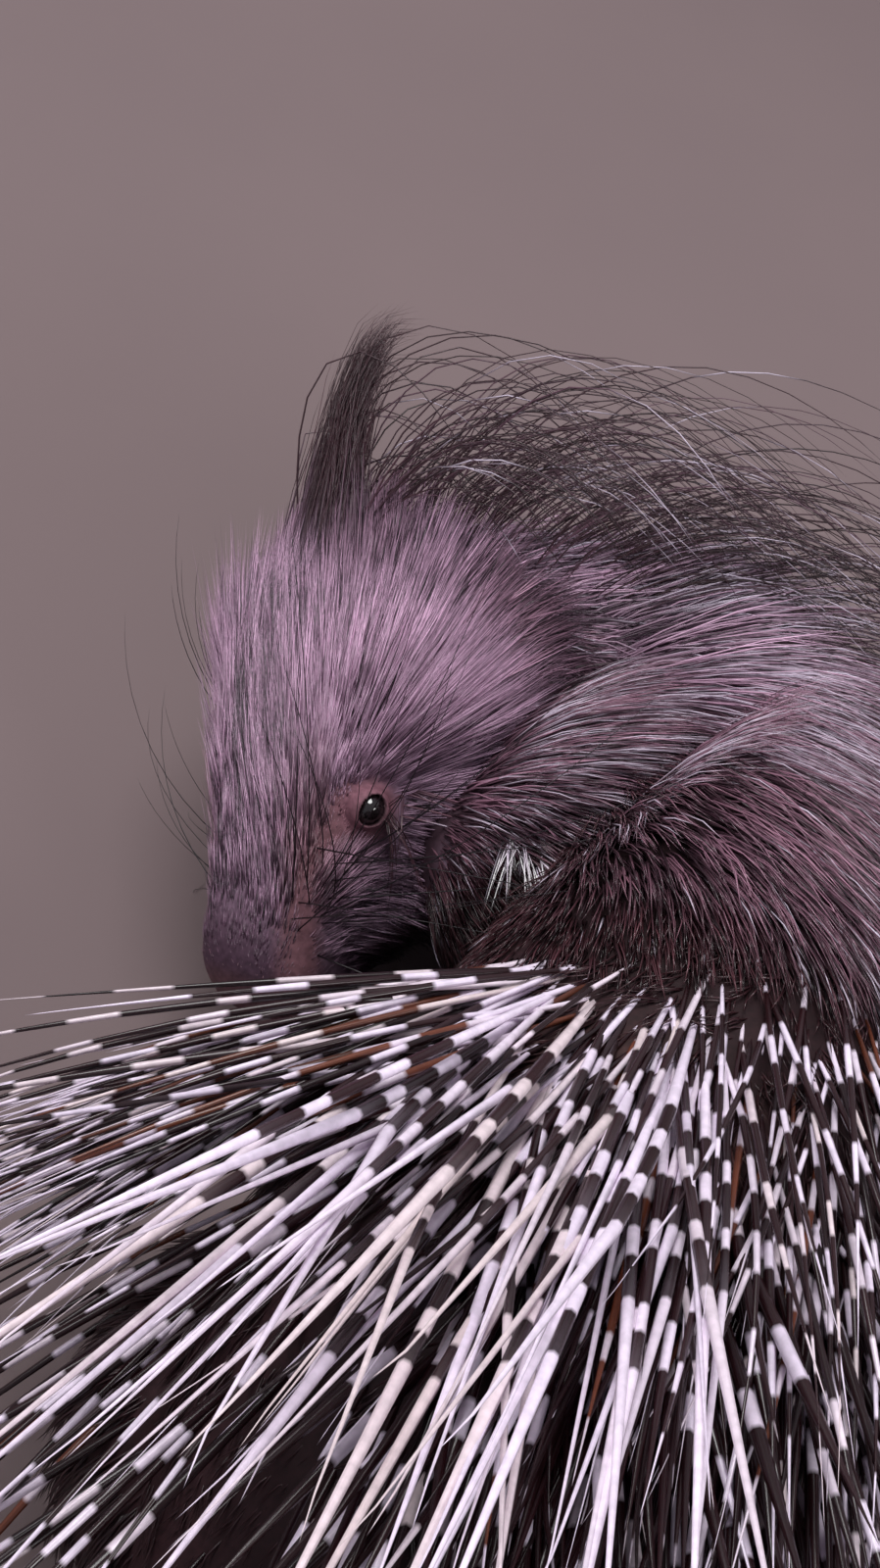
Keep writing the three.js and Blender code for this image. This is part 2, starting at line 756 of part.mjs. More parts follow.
// A quill of the back, given how it lies; degrees, millimetres
function addQuill(coat, { here, out }, { bearing, height, long, thick, sag }) {
  const b = radians(bearing);
  coat.add((more, grow) => {
    const h = radians(height) + more;
    const start = new THREE.Vector3(-Math.sin(b) * Math.cos(h), -Math.cos(b) * Math.cos(h), Math.sin(h));
    start.addScaledVector(out, Math.max(QUILL_CLEAR - start.dot(out), 0)).normalize();
    const end = start.clone().addScaledVector(UP, -sag).normalize();
    return quill(here, start, end, long, thick * QUILL_WIDER, grow);
  }, QUILL_TRIES);
}

function quillCoat(coat) {
  const random = randomSource(7);
  const vary = (spread) => (random() - 0.5) * 2 * spread;
  for (const [r, row] of LONG_QUILLS.rows.entries()) {
    for (let k = 0; k < LONG_QUILLS.across; k += 1) {
      const t = (k + r / 2) / (LONG_QUILLS.across - 0.5);
      const place = trunk.frame(trunkMiddle(row + vary(6)).u, mix(...LONG_QUILLS.angles, t));
      addQuill(coat, place, {
        ...LONG_QUILLS,
        bearing: mix(...LONG_QUILLS.bearings, t) + vary(QUILL_SPREAD.bearing),
        height: LONG_QUILLS.height + vary(QUILL_SPREAD.height),
        long: LONG_QUILLS.long * (1 + vary(QUILL_SPREAD.long)),
      });
    }
  }
  for (let r = 0; r < QUILL_ROWS; r += 1) {
    const t = r / (QUILL_ROWS - 1);
    const across = Math.round(mix(...QUILLS_ACROSS, t));
    for (let k = 0; k < across; k += 1) {
      const side = ((k + (r % 2) * 0.5) / (across - 0.5) - 0.5) * 2 + vary(0.04);
      const angle = side * QUILL_ANGLE;
      const y = mix(quillFront(angle), QUILL_REAR, t) + vary(4.5);
      const [bearing, height, length, thick] = quillLie(y, angle);
      addQuill(coat, trunk.frame(trunkMiddle(y).u, angle), {
        bearing: bearing + vary(QUILL_SPREAD.bearing),
        height: height + vary(QUILL_SPREAD.height),
        long: length * (1 + vary(QUILL_SPREAD.long)),
        thick,
        sag: mix(QUILL_SAG.thin, QUILL_SAG.stout, smooth(QUILL_SAG.from, QUILL_SAG.to, thick)),
      });
    }
  }
}

// Rows of locks over a part of a loft
function lockRows(coat, form, random, sizes, placeAt) {
  for (let r = 0; r < sizes.rows; r += 1) {
    for (let k = 0; k < sizes.across; k += 1) {
      const t = r / (sizes.rows - 1);
      const side = ((k + (r % 2) * 0.5 + 0.25) / sizes.across - 0.5) * 2;
      const { u, angle, more } = placeAt(t, side);
      const chosen = { ...sizes, ...more };
      const frame = form.frame(u, angle + (random() - 0.5) * 8);
      coat.lock(frame, { ...chosen, long: chosen.long * (0.85 + random() * 0.3) });
    }
  }
}

function shoulderCoat(coat) {
  lockRows(coat, trunk, randomSource(11), SHOULDER_LOCKS, (t, side) => ({
    u: trunkMiddle(mix(SHOULDER_LOCKS.from, SHOULDER_LOCKS.to, t)).u,
    angle: side * SHOULDER_LOCKS.angle,
    more: { long: mix(...SHOULDER_LOCKS.longs, t), sweep: mix(...SHOULDER_LOCKS.sweeps, t) },
  }));
  for (const side of [1, -1]) {
    lockRows(coat, trunk, randomSource(13 + side), FLANK_LOCKS, (t, place) => ({
      u: trunkMiddle(mix(FLANK_LOCKS.from, FLANK_LOCKS.to, t)).u,
      angle: side * mix(...FLANK_LOCKS.angles, (place + 1) / 2),
    }));
  }
}

function neckCoat(coat) {
  lockRows(coat, neck, randomSource(17), NECK_LOCKS, (t, side) => {
    const angle = mix(...NECK_LOCKS.angles, (side + 1) / 2);
    const crest = Math.abs(angle) < CREST.angle;
    const lean = crest ? -CREST.lean * angle / CREST.angle : 0;
    const sweep = mix(...NECK_LOCKS.sweeps, t);
    return { u: mix(NECK_LOCKS.from, NECK_LOCKS.to, t), angle, more: crest ? { ...CREST, lean } : { sweep } };
  });
}

function headCoat(coat) {
  lockRows(coat, head, randomSource(19), HEAD_LOCKS, (t, side) => ({
    u: headPlace(mix(HEAD_LOCKS.from, HEAD_LOCKS.to, t)),
    angle: side * HEAD_LOCKS.angle,
    more: { long: mix(...HEAD_LOCKS.longs, t) },
  }));
  lockRows(coat, head, randomSource(23), CROWN, (t, side) => ({
    u: headPlace(mix(CROWN.from, CROWN.to, t)),
    angle: side * CROWN.angle,
  }));
}

// Whiskers on both sides of the muzzle, which bend back along the head
function whiskerCoat(coat) {
  const { rows, across, behind, angles, long, thick, sweep, lift, lay } = WHISKERS;
  const random = randomSource(31);
  for (const side of [1, -1]) {
    for (let k = 0; k < rows * across; k += 1) {
      const angle = side * mix(...angles, (k % rows + random()) / rows);
      const { here, rear, out, round } = onHead(mix(...behind, k / (rows * across - 1)), angle);
      const turn = radians(mix(...sweep, random()));
      const way = rear.clone().multiplyScalar(Math.cos(turn)).addScaledVector(round, side * Math.sin(turn));
      const reach = mix(...long, random());
      coat.add((more, grow) => {
        const start = way.clone().addScaledVector(out, lift + more).normalize();
        const end = way.clone().addScaledVector(out, lay + more).normalize();
        const path = bentPath(here, start, end, reach, LOCK_SUNK, WHISKER_STEPS);
        const radii = path.slice(1).map((_, i) => thick / 2 * (1 - i / WHISKER_STEPS / 2) + grow);
        return taperedBar(path, radii, 3);
      });
    }
  }
}

// Pale quills round the end of the tail
function tailCoat(coat) {
  const random = randomSource(29);
  for (let r = 0; r < TAIL_QUILLS.rows; r += 1) {
    for (let k = 0; k < TAIL_QUILLS.across; k += 1) {
      const angle = (k + (r % 2) / 2) / TAIL_QUILLS.across * 240 - 110;
      const { here, rear, out } = tail.frame(mix(0.5, 0.9, r / (TAIL_QUILLS.rows - 1)), angle);
      const long = TAIL_QUILLS.long * (0.8 + random() * 0.4);
      coat.add((more, grow) => {
        const start = rear.clone().addScaledVector(out, TAIL_QUILLS.lift + more).normalize();
        return quill(here, start, start, long, TAIL_QUILLS.thick, grow);
      });
    }
  }
}

// Colours as seen
const fur = (colour) => new THREE.MeshStandardMaterial({ color: colour, roughness: 0.75, metalness: 0 });
const darkFur = fur(0x3a2628);
const headFur = fur(0x6f5a63);
const earSkin = fur(0x8d6565);
const footSkin = fur(0x2b2022);
const eyeGloss = new THREE.MeshStandardMaterial({ color: 0x08080a, roughness: 0.08, metalness: 0 });

function neckFold(grow) {
  return ellipsoid(NECK_FOLD.middle, NECK_FOLD.size.map((r) => r + grow), AXES, FOLD_SIDES);
}

const grownTrunk = trunk.solid(GAP);
const grownNeck = neck.solid(GAP).add(neckFold(GAP));
const grownHead = head.solid(GAP);

// Each node's solid, the same with its clearance, and its colour
const flesh = new Map([
  ['head', headSolid()],
  ['neck', neck.solid().add(neckFold(0).subtract(grownTrunk)).subtract(grownHead)],
  ['torso', trunk.solid()],
  ['tail', tail.solid()],
]);
const grown = new Map([
  ['head', grownHead],
  ['neck', grownNeck],
  ['torso', grownTrunk],
  ['tail', tail.solid(GAP)],
]);
const colours = new Map([
  ['head', headFur],
  ['neck', darkFur],
  ['torso', darkFur],
  ['tail', darkFur],
]);

// Legs, feet, ears and eyes keep clear of the flesh that they grow from
const body = joined([grownTrunk, grownNeck, grownHead]);
for (const [side, word] of [[1, 'right'], [-1, 'left']]) {
  for (const [part, leg, foot] of [['fore', FORE_LEG, FORE_FOOT], ['hind', HIND_LEG, HIND_FOOT]]) {
    const limb = limbForm(leg, side).subtract(body).subtract(footForm(foot, side, GAP)).subtract(underFloor);
    flesh.set(`${part}_foot_${word}`, footForm(foot, side).subtract(body));
    grown.set(`${part}_foot_${word}`, footForm(foot, side, GAP));
    colours.set(`${part}_foot_${word}`, footSkin);
    flesh.set(`${part}_leg_${word}`, limb);
    grown.set(`${part}_leg_${word}`, limbForm(leg, side, GAP));
    colours.set(`${part}_leg_${word}`, darkFur);
  }
  flesh.set(`ear_${word}`, earCup(-side).subtract(grownHead).subtract(grownNeck));
  grown.set(`ear_${word}`, earCup(-side));
  colours.set(`ear_${word}`, earSkin);
  flesh.set(`eye_${word}`, eyeball(-side));
  grown.set(`eye_${word}`, eyeball(-side, GAP));
  colours.set(`eye_${word}`, eyeGloss);
}

// Each coat keeps clear of the other nodes, and of the coats grown before it
const COATS = [
  ['torso', [quillCoat, shoulderCoat]],
  ['tail', [tailCoat]],
  ['neck', [neckCoat]],
  ['head', [headCoat, whiskerCoat]],
];
for (const [name, layers] of COATS) {
  const others = [...grown].filter(([other]) => other !== name).map(([, solid]) => solid);
  const coat = new Coat(others);
  layers.forEach((layer) => layer(coat));
  flesh.set(name, largestPiece(joined([flesh.get(name), ...coat.pieces])));
  grown.set(name, joined([grown.get(name), ...coat.grown]));
}

const porcupine = new THREE.Group();
for (const [name, solid] of flesh) {
  porcupine.add(meshOf(name, solid, colours.get(name)));
}

// The origin is at the middle of the underside
const extent = new THREE.Box3().setFromObject(porcupine);
const middle = extent.getCenter(new THREE.Vector3());
porcupine.position.set(-middle.x, -middle.y, -extent.min.z);
porcupine.updateMatrixWorld(true);

export default porcupine;
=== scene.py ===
import math

import bmesh
import bpy
import numpy as np
from mathutils import Matrix, Vector
from mathutils.kdtree import KDTree


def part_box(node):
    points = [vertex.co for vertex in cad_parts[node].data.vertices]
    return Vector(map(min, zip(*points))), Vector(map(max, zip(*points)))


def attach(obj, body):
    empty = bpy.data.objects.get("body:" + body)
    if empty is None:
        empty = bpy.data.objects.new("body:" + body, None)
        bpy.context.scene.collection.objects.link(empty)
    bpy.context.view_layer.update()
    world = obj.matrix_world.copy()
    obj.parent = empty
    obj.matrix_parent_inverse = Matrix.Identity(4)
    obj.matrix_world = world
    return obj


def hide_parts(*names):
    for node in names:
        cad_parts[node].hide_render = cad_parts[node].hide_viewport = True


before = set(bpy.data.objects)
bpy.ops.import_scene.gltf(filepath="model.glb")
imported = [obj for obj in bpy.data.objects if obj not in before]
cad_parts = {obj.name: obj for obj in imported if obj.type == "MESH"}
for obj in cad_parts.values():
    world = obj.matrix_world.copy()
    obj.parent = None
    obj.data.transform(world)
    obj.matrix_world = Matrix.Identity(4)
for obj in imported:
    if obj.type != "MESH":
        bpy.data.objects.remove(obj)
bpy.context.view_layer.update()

# Sizes are in millimetres in the pose's own frame: X to the camera's right, Y away from the camera, Z up,
# with the origin on the ground under the middle of the picture. to_row() turns them into the frame's metres.
UP = np.array([0.0, 0.0, 1.0])

# Head: the axis runs from the nose to the joint behind the ears
NOSE = np.array([-20.0, -152.0, 38.0])
HEAD_JOINT = np.array([-31.5, -33.0, 100.5])
HEAD_ROLL = 45
# Distance behind the nose, half width, height above the axis, depth below it
HEAD_SHAPE = [
    (0, 11, 10, 10),
    (3, 19, 18, 18),
    (12, 25, 26, 25),
    (30, 28, 32, 35),
    (52, 32, 39, 45),
    (74, 38, 44, 53),
    (98, 43, 47, 58),
    (115, 44, 48, 58),
]
HEAD_JOINT_SIZE = (44, 48, 56)

# Neck: an arc about an upright pivot, with angles from the shoulder (0) to the head (180)
NECK_PIVOT = np.array([32.0, -44.0, 0.0])
# Angle, distance from the pivot, height of the middle, half width, height above, depth below, roll
NECK_SHAPE = [
    (140, 45, 97, 40, 45, 56, 40),
    (100, 41, 93, 39, 45, 58, 28),
    (60, 46, 92, 43, 51, 63, 14),
    (25, 61, 92, 54, 60, 70, 4),
    (0, 79, 94, 61, 67, 74, 0),
]

# The flesh of the throat and shoulder, pressed into a fold on the inside of the bend: middle and radii
NECK_FOLD = ((46, -64, 84), (56, 62, 56))

# Trunk and tail: sections across Y, as y, x, height of the middle, half width, height above, depth below
TRUNK_SHAPE = [
    (-44, 111, 94, 61, 67, 74),
    (-70, 114, 94, 69, 80, 88),
    (-100, 117, 92, 77, 93, 98),
    (-138, 117, 92, 85, 106, 104),
    (-180, 114, 93, 92, 115, 104),
    (-222, 110, 94, 98, 121, 104),
    (-268, 106, 92, 102, 121, 102),
    (-312, 102, 86, 99, 108, 96),
    (-350, 98, 76, 86, 84, 84),
    (-380, 94, 64, 64, 58, 64),
    (-400, 92, 54, 42, 34, 42),
]
TAIL_SHAPE = [
    (-400, 92, 54, 42, 34, 42),
    (-416, 91, 48, 30, 25, 28),
    (-438, 89, 39, 21, 18, 19),
    (-456, 87, 33, 11, 9, 10),
]

# Limbs, as offsets from the middle of the trunk: (out, y, z, radii) of the upper and lower limb
FORE_LIMB = [(57, -92, 62, (34, 40, 52)), (57, -62, 30, (17, 36, 19))]
HIND_LIMB = [(78, -302, 62, (40, 62, 58)), (78, -286, 26, (19, 34, 20))]
# Feet: out, y, length, width, height, toes
FORE_FOOT = (50, -32, 56, 34, 24, 4)
HIND_FOOT = (78, -258, 96, 40, 26, 5)
TOE_LENGTH = 22
TOE_SPREAD = 13
TOE_STEP = 5
CLAW_LENGTH = 15

# The picture's right, its top and the way to the camera
TO_RIGHT = np.array([0.885, 0.367, 0.287])
TO_TOP = np.array([-0.466, 0.697, 0.545])
TO_VIEW = np.array([0.0, -0.616, 0.788])

EYE_RADIUS = 6.2
EYE_BEHIND_NOSE = 72
EYE_ANGLE = 62
EYE_SUNK = 3.4
LID_THICK = 1.5
# Half the opening between the lids, along the head and across it
EYE_OPENING = (5.2, 4.1)
EAR_BEHIND_NOSE = 108
EAR_ANGLE = 54

# How far the skin lies under the limbs and feet
LIMB_UNDER = 2.5
FOOT_UNDER = 0.6
VOXEL = 2.6
# How deep in the skin the hairs start
ROOT_DEPTH = 1.5


def unit(v):
    v = np.asarray(v, float)
    return v / np.maximum(np.linalg.norm(v, axis=-1, keepdims=True), 1e-9)


def smooth(low, high, value):
    """0 below low, 1 above high and a smooth step between."""
    t = np.clip((np.asarray(value, float) - low) / (high - low), 0, 1)
    return t * t * (3 - 2 * t)


def mix(a, b, t):
    return a + (b - a) * t


def station(middle, facing, roll, wide, above, below):
    return [*middle, *unit(facing), math.radians(roll), wide, above, below]


class Loft:
    """A body form through stations, front to rear. u runs from 0 at the front to 1 at the rear, and the
    angle from the back line (0) to the animal's left (90) and right (-90). patch is its rectangle on the
    unwrap, and under how far the skin lies below it."""

    def __init__(self, stations, power, patch, under):
        self.table = np.array(stations, float)
        self.power = power
        self.patch = patch
        self.under = under

    def section(self, u):
        last = len(self.table) - 1
        place = np.clip(u, 0, 1) * last
        i = np.minimum(place.astype(int), last - 1)
        a, b, c, d = (self.table[np.clip(i + k, 0, last)] for k in (-1, 0, 1, 2))
        t = (place - i)[..., None]
        start, end = (c - a) / 2, (d - b) / 2
        return (
            b * (2 * t**3 - 3 * t**2 + 1)
            + start * (t**3 - 2 * t**2 + t)
            + c * (3 * t**2 - 2 * t**3)
            + end * (t**3 - t**2)
        )

    def axes(self, s):
        facing = unit(s[..., 3:6])
        level = unit(np.cross(UP, facing))
        top = unit(np.cross(facing, level))
        c, d = np.cos(s[..., 6:7]), np.sin(s[..., 6:7])
        return top * c - level * d, level * c + top * d

    def point(self, u, angle, grow=0.0):
        u, angle, grow = np.broadcast_arrays(*(np.asarray(v, float) for v in (u, angle, grow)))
        s = self.section(u)
        up, left = self.axes(s)
        a, grow = np.radians(angle)[..., None], grow[..., None]

        def bend(v):
            return np.sign(v) * np.abs(v) ** (2 / self.power)

        across = bend(np.sin(a)) * (s[..., 7:8] + grow)
        rise = bend(np.cos(a)) * (np.where(np.cos(a) > 0, s[..., 8:9], s[..., 9:10]) + grow)
        return s[..., :3] + left * across + up * rise

    def frame(self, u, angle):
        """The surface's point, its rearward direction, outward normal and roundward direction, and the
        millimetres for each unit of u and for each degree."""
        step = 0.01
        here = self.point(u, angle)
        rear = self.point(np.minimum(u + step, 1), angle) - self.point(np.maximum(u - step, 0), angle)
        round_ = self.point(u, angle + 1) - self.point(u, angle - 1)
        along = np.linalg.norm(rear, axis=-1) / (np.minimum(u + step, 1) - np.maximum(u - step, 0))
        across = np.linalg.norm(round_, axis=-1) / 2
        out = unit(np.cross(unit(rear), unit(round_)))
        middle = self.section(u)[..., :3]
        turned = np.sum(out * (here - middle), -1, keepdims=True) < 0
        return here, unit(rear), np.where(turned, -out, out), unit(round_), along, across

    def uv(self, u, angle):
        x, y, wide, high = self.patch
        return np.stack([x + (angle / 360 + 0.5) * wide, y + u * high], -1)


head_axis = unit(NOSE - HEAD_JOINT)
joint_facing = unit(head_axis + np.array([0, -1, 0]))
head_joint = station(HEAD_JOINT, joint_facing, HEAD_ROLL, *HEAD_JOINT_SIZE)
head = Loft(
    [station(NOSE - head_axis * b, head_axis, HEAD_ROLL, *size) for b, *size in HEAD_SHAPE] + [head_joint],
    2.2,
    (0.0, 0.5, 0.5, 0.5),
    2.0,
)


def on_arc(angle, away, height, wide, above, below, roll):
    a = math.radians(angle)
    out = np.array([math.cos(a), math.sin(a), 0])
    middle = NECK_PIVOT + out * away + UP * height
    return station(middle, (-out[1], out[0], 0), roll, wide, above, below)


def across_y(y, x, z, *size):
    return station((x, y, z), (0, 1, 0), 0, *size)


neck = Loft([head_joint] + [on_arc(*s) for s in NECK_SHAPE], 2.1, (0.5, 0.5, 0.5, 0.5), 6.0)
trunk = Loft([across_y(*s) for s in TRUNK_SHAPE], 2.2, (0.0, 0.0, 0.7, 0.5), 6.0)
tail = Loft([across_y(*s) for s in TAIL_SHAPE], 2.2, (0.7, 0.0, 0.3, 0.5), 4.0)

track = np.linspace(0, 1, 400)
behind_track = np.linalg.norm(head.section(track)[:, :3] - NOSE, axis=1)
trunk_track = trunk.section(track)[:, :3]


def head_u(behind):
    return np.interp(behind, behind_track, track)


def trunk_u(y):
    return np.interp(-np.asarray(y, float), -trunk_track[:, 1], track)


def trunk_x(y):
    return float(np.interp(-y, -trunk_track[:, 1], trunk_track[:, 0]))


def on_head(behind, angle):
    here, rear, out, _, _, _ = head.frame(np.array(head_u(behind)), np.array(float(angle)))
    round_ = unit(np.cross(out, rear))
    return here, rear, out, round_


def eye_middle(side):
    here, _, out, _ = on_head(EYE_BEHIND_NOSE, side * EYE_ANGLE)
    return here - out * EYE_SUNK


def away_from(points, behind, angle):
    """How far points are from the nearer of two places on the head, one on each side."""
    spots = [on_head(behind, side * angle)[0] for side in (1, -1)]
    return np.minimum(*[np.linalg.norm(points - spot, axis=-1) for spot in spots])


# The shift from the pose's frame to the row's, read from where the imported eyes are
eye_boxes = [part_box("eye_left"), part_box("eye_right")]
eye_middles = [eye_middle(1), eye_middle(-1)]
SHIFT = np.mean([np.array((lo + hi) / 2) * 1000 - m for (lo, hi), m in zip(eye_boxes, eye_middles)], axis=0)
SHIFT[2] = 0.0


def to_row(points):
    return (np.asarray(points, float) + SHIFT) * 0.001


def from_row(points):
    return points * 1000 - SHIFT


def linear(rgb):
    """Screen colour numbers from 0 to 255 as the linear values that shaders take."""
    c = np.asarray(rgb, float) / 255
    return np.where(c <= 0.04045, c / 12.92, ((c + 0.055) / 1.055) ** 2.4)


# Materials

def material(name, roughness, specular=0.5, **inputs):
    mat = bpy.data.materials.new(name)
    mat.use_nodes = True
    shader = mat.node_tree.nodes["Principled BSDF"]
    shader.inputs["Roughness"].default_value = roughness
    shader.inputs["Specular IOR Level"].default_value = specular
    for key, value in inputs.items():
        shader.inputs[key.replace("_", " ")].default_value = value
    return mat, mat.node_tree, shader


def noise(tree, scale, detail, stretch=None):
    texture = tree.nodes.new("ShaderNodeTexNoise")
    texture.inputs["Scale"].default_value = scale
    texture.inputs["Detail"].default_value = detail
    place = tree.nodes.new("ShaderNodeTexCoord").outputs["Object"]
    if stretch:
        mapping = tree.nodes.new("ShaderNodeMapping")
        mapping.inputs["Scale"].default_value = stretch
        tree.links.new(place, mapping.inputs["Vector"])
        place = mapping.outputs["Vector"]
    tree.links.new(place, texture.inputs["Vector"])
    return texture.outputs["Fac"]


def shade(tree, colour, amount, low, high):
    """The colour times a value from low to high that follows amount."""
    spread = tree.nodes.new("ShaderNodeMapRange")
    for key, value in (("From Min", 0.3), ("From Max", 0.7), ("To Min", low), ("To Max", high)):
        spread.inputs[key].default_value = value
    tree.links.new(amount, spread.inputs["Value"])
    scaled = tree.nodes.new("ShaderNodeVectorMath")
    scaled.operation = "SCALE"
    tree.links.new(colour, scaled.inputs[0])
    tree.links.new(spread.outputs["Result"], scaled.inputs["Scale"])
    return scaled.outputs["Vector"]


def bump(tree, shader, height, strength, distance):
    node = tree.nodes.new("ShaderNodeBump")
    node.inputs["Strength"].default_value = strength
    node.inputs["Distance"].default_value = distance
    tree.links.new(height, node.inputs["Height"])
    tree.links.new(node.outputs["Normal"], shader.inputs["Normal"])


def coat_material(name, roughness, specular, low=0.88, high=1.12, grain=500.0, **inputs):
    """A material whose colour comes from the piece's own coat attribute, varied by a fine grain."""
    mat, tree, shader = material(name, roughness, specular, **inputs)
    attribute = tree.nodes.new("ShaderNodeAttribute")
    attribute.attribute_name = "coat"
    fine = noise(tree, grain, 3.0)
    tree.links.new(shade(tree, attribute.outputs["Color"], fine, low, high), shader.inputs["Base Color"])
    bump(tree, shader, fine, 0.1, 0.0003)
    return mat


hair_finish = coat_material("hair", 0.3, 0.65)
quill_finish = coat_material("quill_horn", 0.26, 0.5, 0.86, 1.1, 260.0, Coat_Weight=0.25, Coat_Roughness=0.15)
skin_finish = coat_material("skin", 0.7, 0.3, 0.7, 1.25, 420.0)
ear_finish = coat_material("ear_skin", 0.85, 0.15, 0.8, 1.2, 500.0)


def two_tone(tree, shader, amount, colours, stops=(0.0, 1.0)):
    """Gives the shader a colour that runs between two as amount does."""
    ramp = tree.nodes.new("ShaderNodeValToRGB")
    for element, stop, colour in zip(ramp.color_ramp.elements, stops, colours):
        element.position = stop
        element.color = (*linear(colour), 1)
    tree.links.new(amount, ramp.inputs["Fac"])
    tree.links.new(ramp.outputs["Color"], shader.inputs["Base Color"])


def claw_material():
    mat, tree, shader = material("claw_horn", 0.32, 0.5)
    streaks = noise(tree, 90.0, 5.0, (1.0, 0.15, 1.0))
    two_tone(tree, shader, streaks, ((38, 28, 28), (92, 74, 68)), (0.3, 0.75))
    bump(tree, shader, streaks, 0.3, 0.0003)
    return mat


def eye_material():
    mat, tree, shader = material("eye", 0.04, 0.6, Coat_Weight=1.0, Coat_Roughness=0.02)
    two_tone(tree, shader, noise(tree, 160.0, 3.0), ((6, 5, 8), (26, 18, 20)))
    return mat


def floor_material():
    mat, tree, shader = material("floor", 0.85, 0.2)
    two_tone(tree, shader, noise(tree, 3.0, 6.0), ((112, 98, 100), (128, 112, 112)))
    return mat


# Meshes

def linked(name, data):
    obj = bpy.data.objects.new(name, data)
    bpy.context.scene.collection.objects.link(obj)
    return obj


def mesh_object(name, points, faces, mat):
    """faces is a list of integer arrays, each of shape (count, corners)."""
    mesh = bpy.data.meshes.new(name)
    mesh.vertices.add(len(points))
    mesh.vertices.foreach_set("co", np.ascontiguousarray(points, np.float32).ravel())
    faces = [np.asarray(f, np.int32) for f in faces if len(f)]
    corners = np.concatenate([f.ravel() for f in faces])
    totals = np.concatenate([np.full(len(f), f.shape[1], np.int32) for f in faces])
    mesh.loops.add(len(corners))
    mesh.loops.foreach_set("vertex_index", corners)
    mesh.polygons.add(len(totals))
    mesh.polygons.foreach_set("loop_start", np.concatenate([[0], np.cumsum(totals)[:-1]]).astype(np.int32))
    mesh.polygons.foreach_set("loop_total", totals)
    mesh.update(calc_edges=True)
    mesh.polygons.foreach_set("use_smooth", np.ones(len(totals), bool))
    mesh.materials.append(mat)
    return linked(name, mesh)


def read_vertices(mesh, what="co"):
    values = np.empty(len(mesh.vertices) * 3)
    mesh.vertices.foreach_get(what, values)
    return values.reshape(-1, 3)


def tube_quads(rings, sides):
    """The faces between neighbouring rings of points."""
    r, k = (v.ravel() for v in np.meshgrid(np.arange(rings - 1), np.arange(sides), indexing="ij"))
    a, b = r * sides + k, r * sides + (k + 1) % sides
    return np.stack([a, b, b + sides, a + sides], -1)


def fan(point, first, sides):
    """Triangles from one point to a ring of points."""
    k = np.arange(sides)
    return np.stack([np.full(sides, point), first + (k + 1) % sides, first + k], -1)


def paint(mesh, colours):
    layer = mesh.color_attributes.new("coat", "FLOAT_COLOR", "POINT")
    values = np.concatenate([np.clip(colours, 0, 1), np.ones((len(colours), 1))], axis=1)
    layer.data.foreach_set("color", values.astype(np.float32).ravel())


def unwrap(mesh, uv):
    layer = mesh.uv_layers.new(name="OFBake")
    corners = np.empty(len(mesh.loops), np.int32)
    mesh.loops.foreach_get("vertex_index", corners)
    layer.data.foreach_set("uv", uv[corners].astype(np.float32).ravel())


def finished(obj, slot, *nodes):
    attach(obj, "root")
    if nodes:
        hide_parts(*nodes)
    return obj


# Skin

def closed_tube(rings, sides):
    """Rings of points and then the two points that close its ends, as faces."""
    end = rings * sides
    back = fan(end + 1, end - sides, sides)[:, [0, 2, 1]]
    return tube_quads(rings, sides), np.concatenate([fan(end, 0, sides), back])


def shell(loft, rings, sides):
    u = np.linspace(0, 1, rings)[:, None]
    angle = np.linspace(0, 360, sides, endpoint=False)[None, :]
    points = loft.point(u, angle, -loft.under).reshape(-1, 3)
    points[:, 2] = np.maximum(points[:, 2], 0.4)
    ends = loft.section(np.array([0.0, 1.0]))[:, :3]
    quads, fans = closed_tube(rings, sides)
    return np.concatenate([points, ends]), quads.tolist() + fans.tolist()


def ball(middle, radii, axes=np.eye(3), rings=18, sides=28):
    """An ellipsoid as points and faces."""
    t = np.linspace(0, math.pi, rings + 2)[1:-1, None]
    a = np.linspace(0, 2 * math.pi, sides, endpoint=False)[None, :]
    local = np.stack([np.sin(t) * np.cos(a), np.sin(t) * np.sin(a), np.cos(t) + 0 * a], -1).reshape(-1, 3)
    local = np.concatenate([local, [[0, 0, 1], [0, 0, -1]]])
    quads, fans = closed_tube(rings, sides)
    faces = quads[:, [0, 3, 2, 1]].tolist() + fans[:, [0, 2, 1]].tolist()
    return middle + (local * radii) @ np.asarray(axes), faces


def beside_trunk(out, y, side):
    return trunk_x(y) + side * out


def toes_of(foot, side):
    """Each toe's root, the way it points and its radius."""
    out, y, long, wide, _, toes = foot
    radius = wide / toes * 0.56
    for k in range(toes):
        spread = (k / (toes - 1) - 0.5) * 2
        turn = math.radians(TOE_SPREAD * spread)
        x = beside_trunk(out, y, side) + spread * (wide / 2 - radius)
        root = np.array([x, y + long * 0.32 - abs(spread) * TOE_STEP, radius * 0.9])
        yield root, np.array([math.sin(turn), math.cos(turn), 0]), radius


def limbs_and_feet():
    """Each limb and its foot, on both sides of the body."""
    for side in (1, -1):
        for limb, foot in ((FORE_LIMB, FORE_FOOT), (HIND_LIMB, HIND_FOOT)):
            yield side, limb, foot


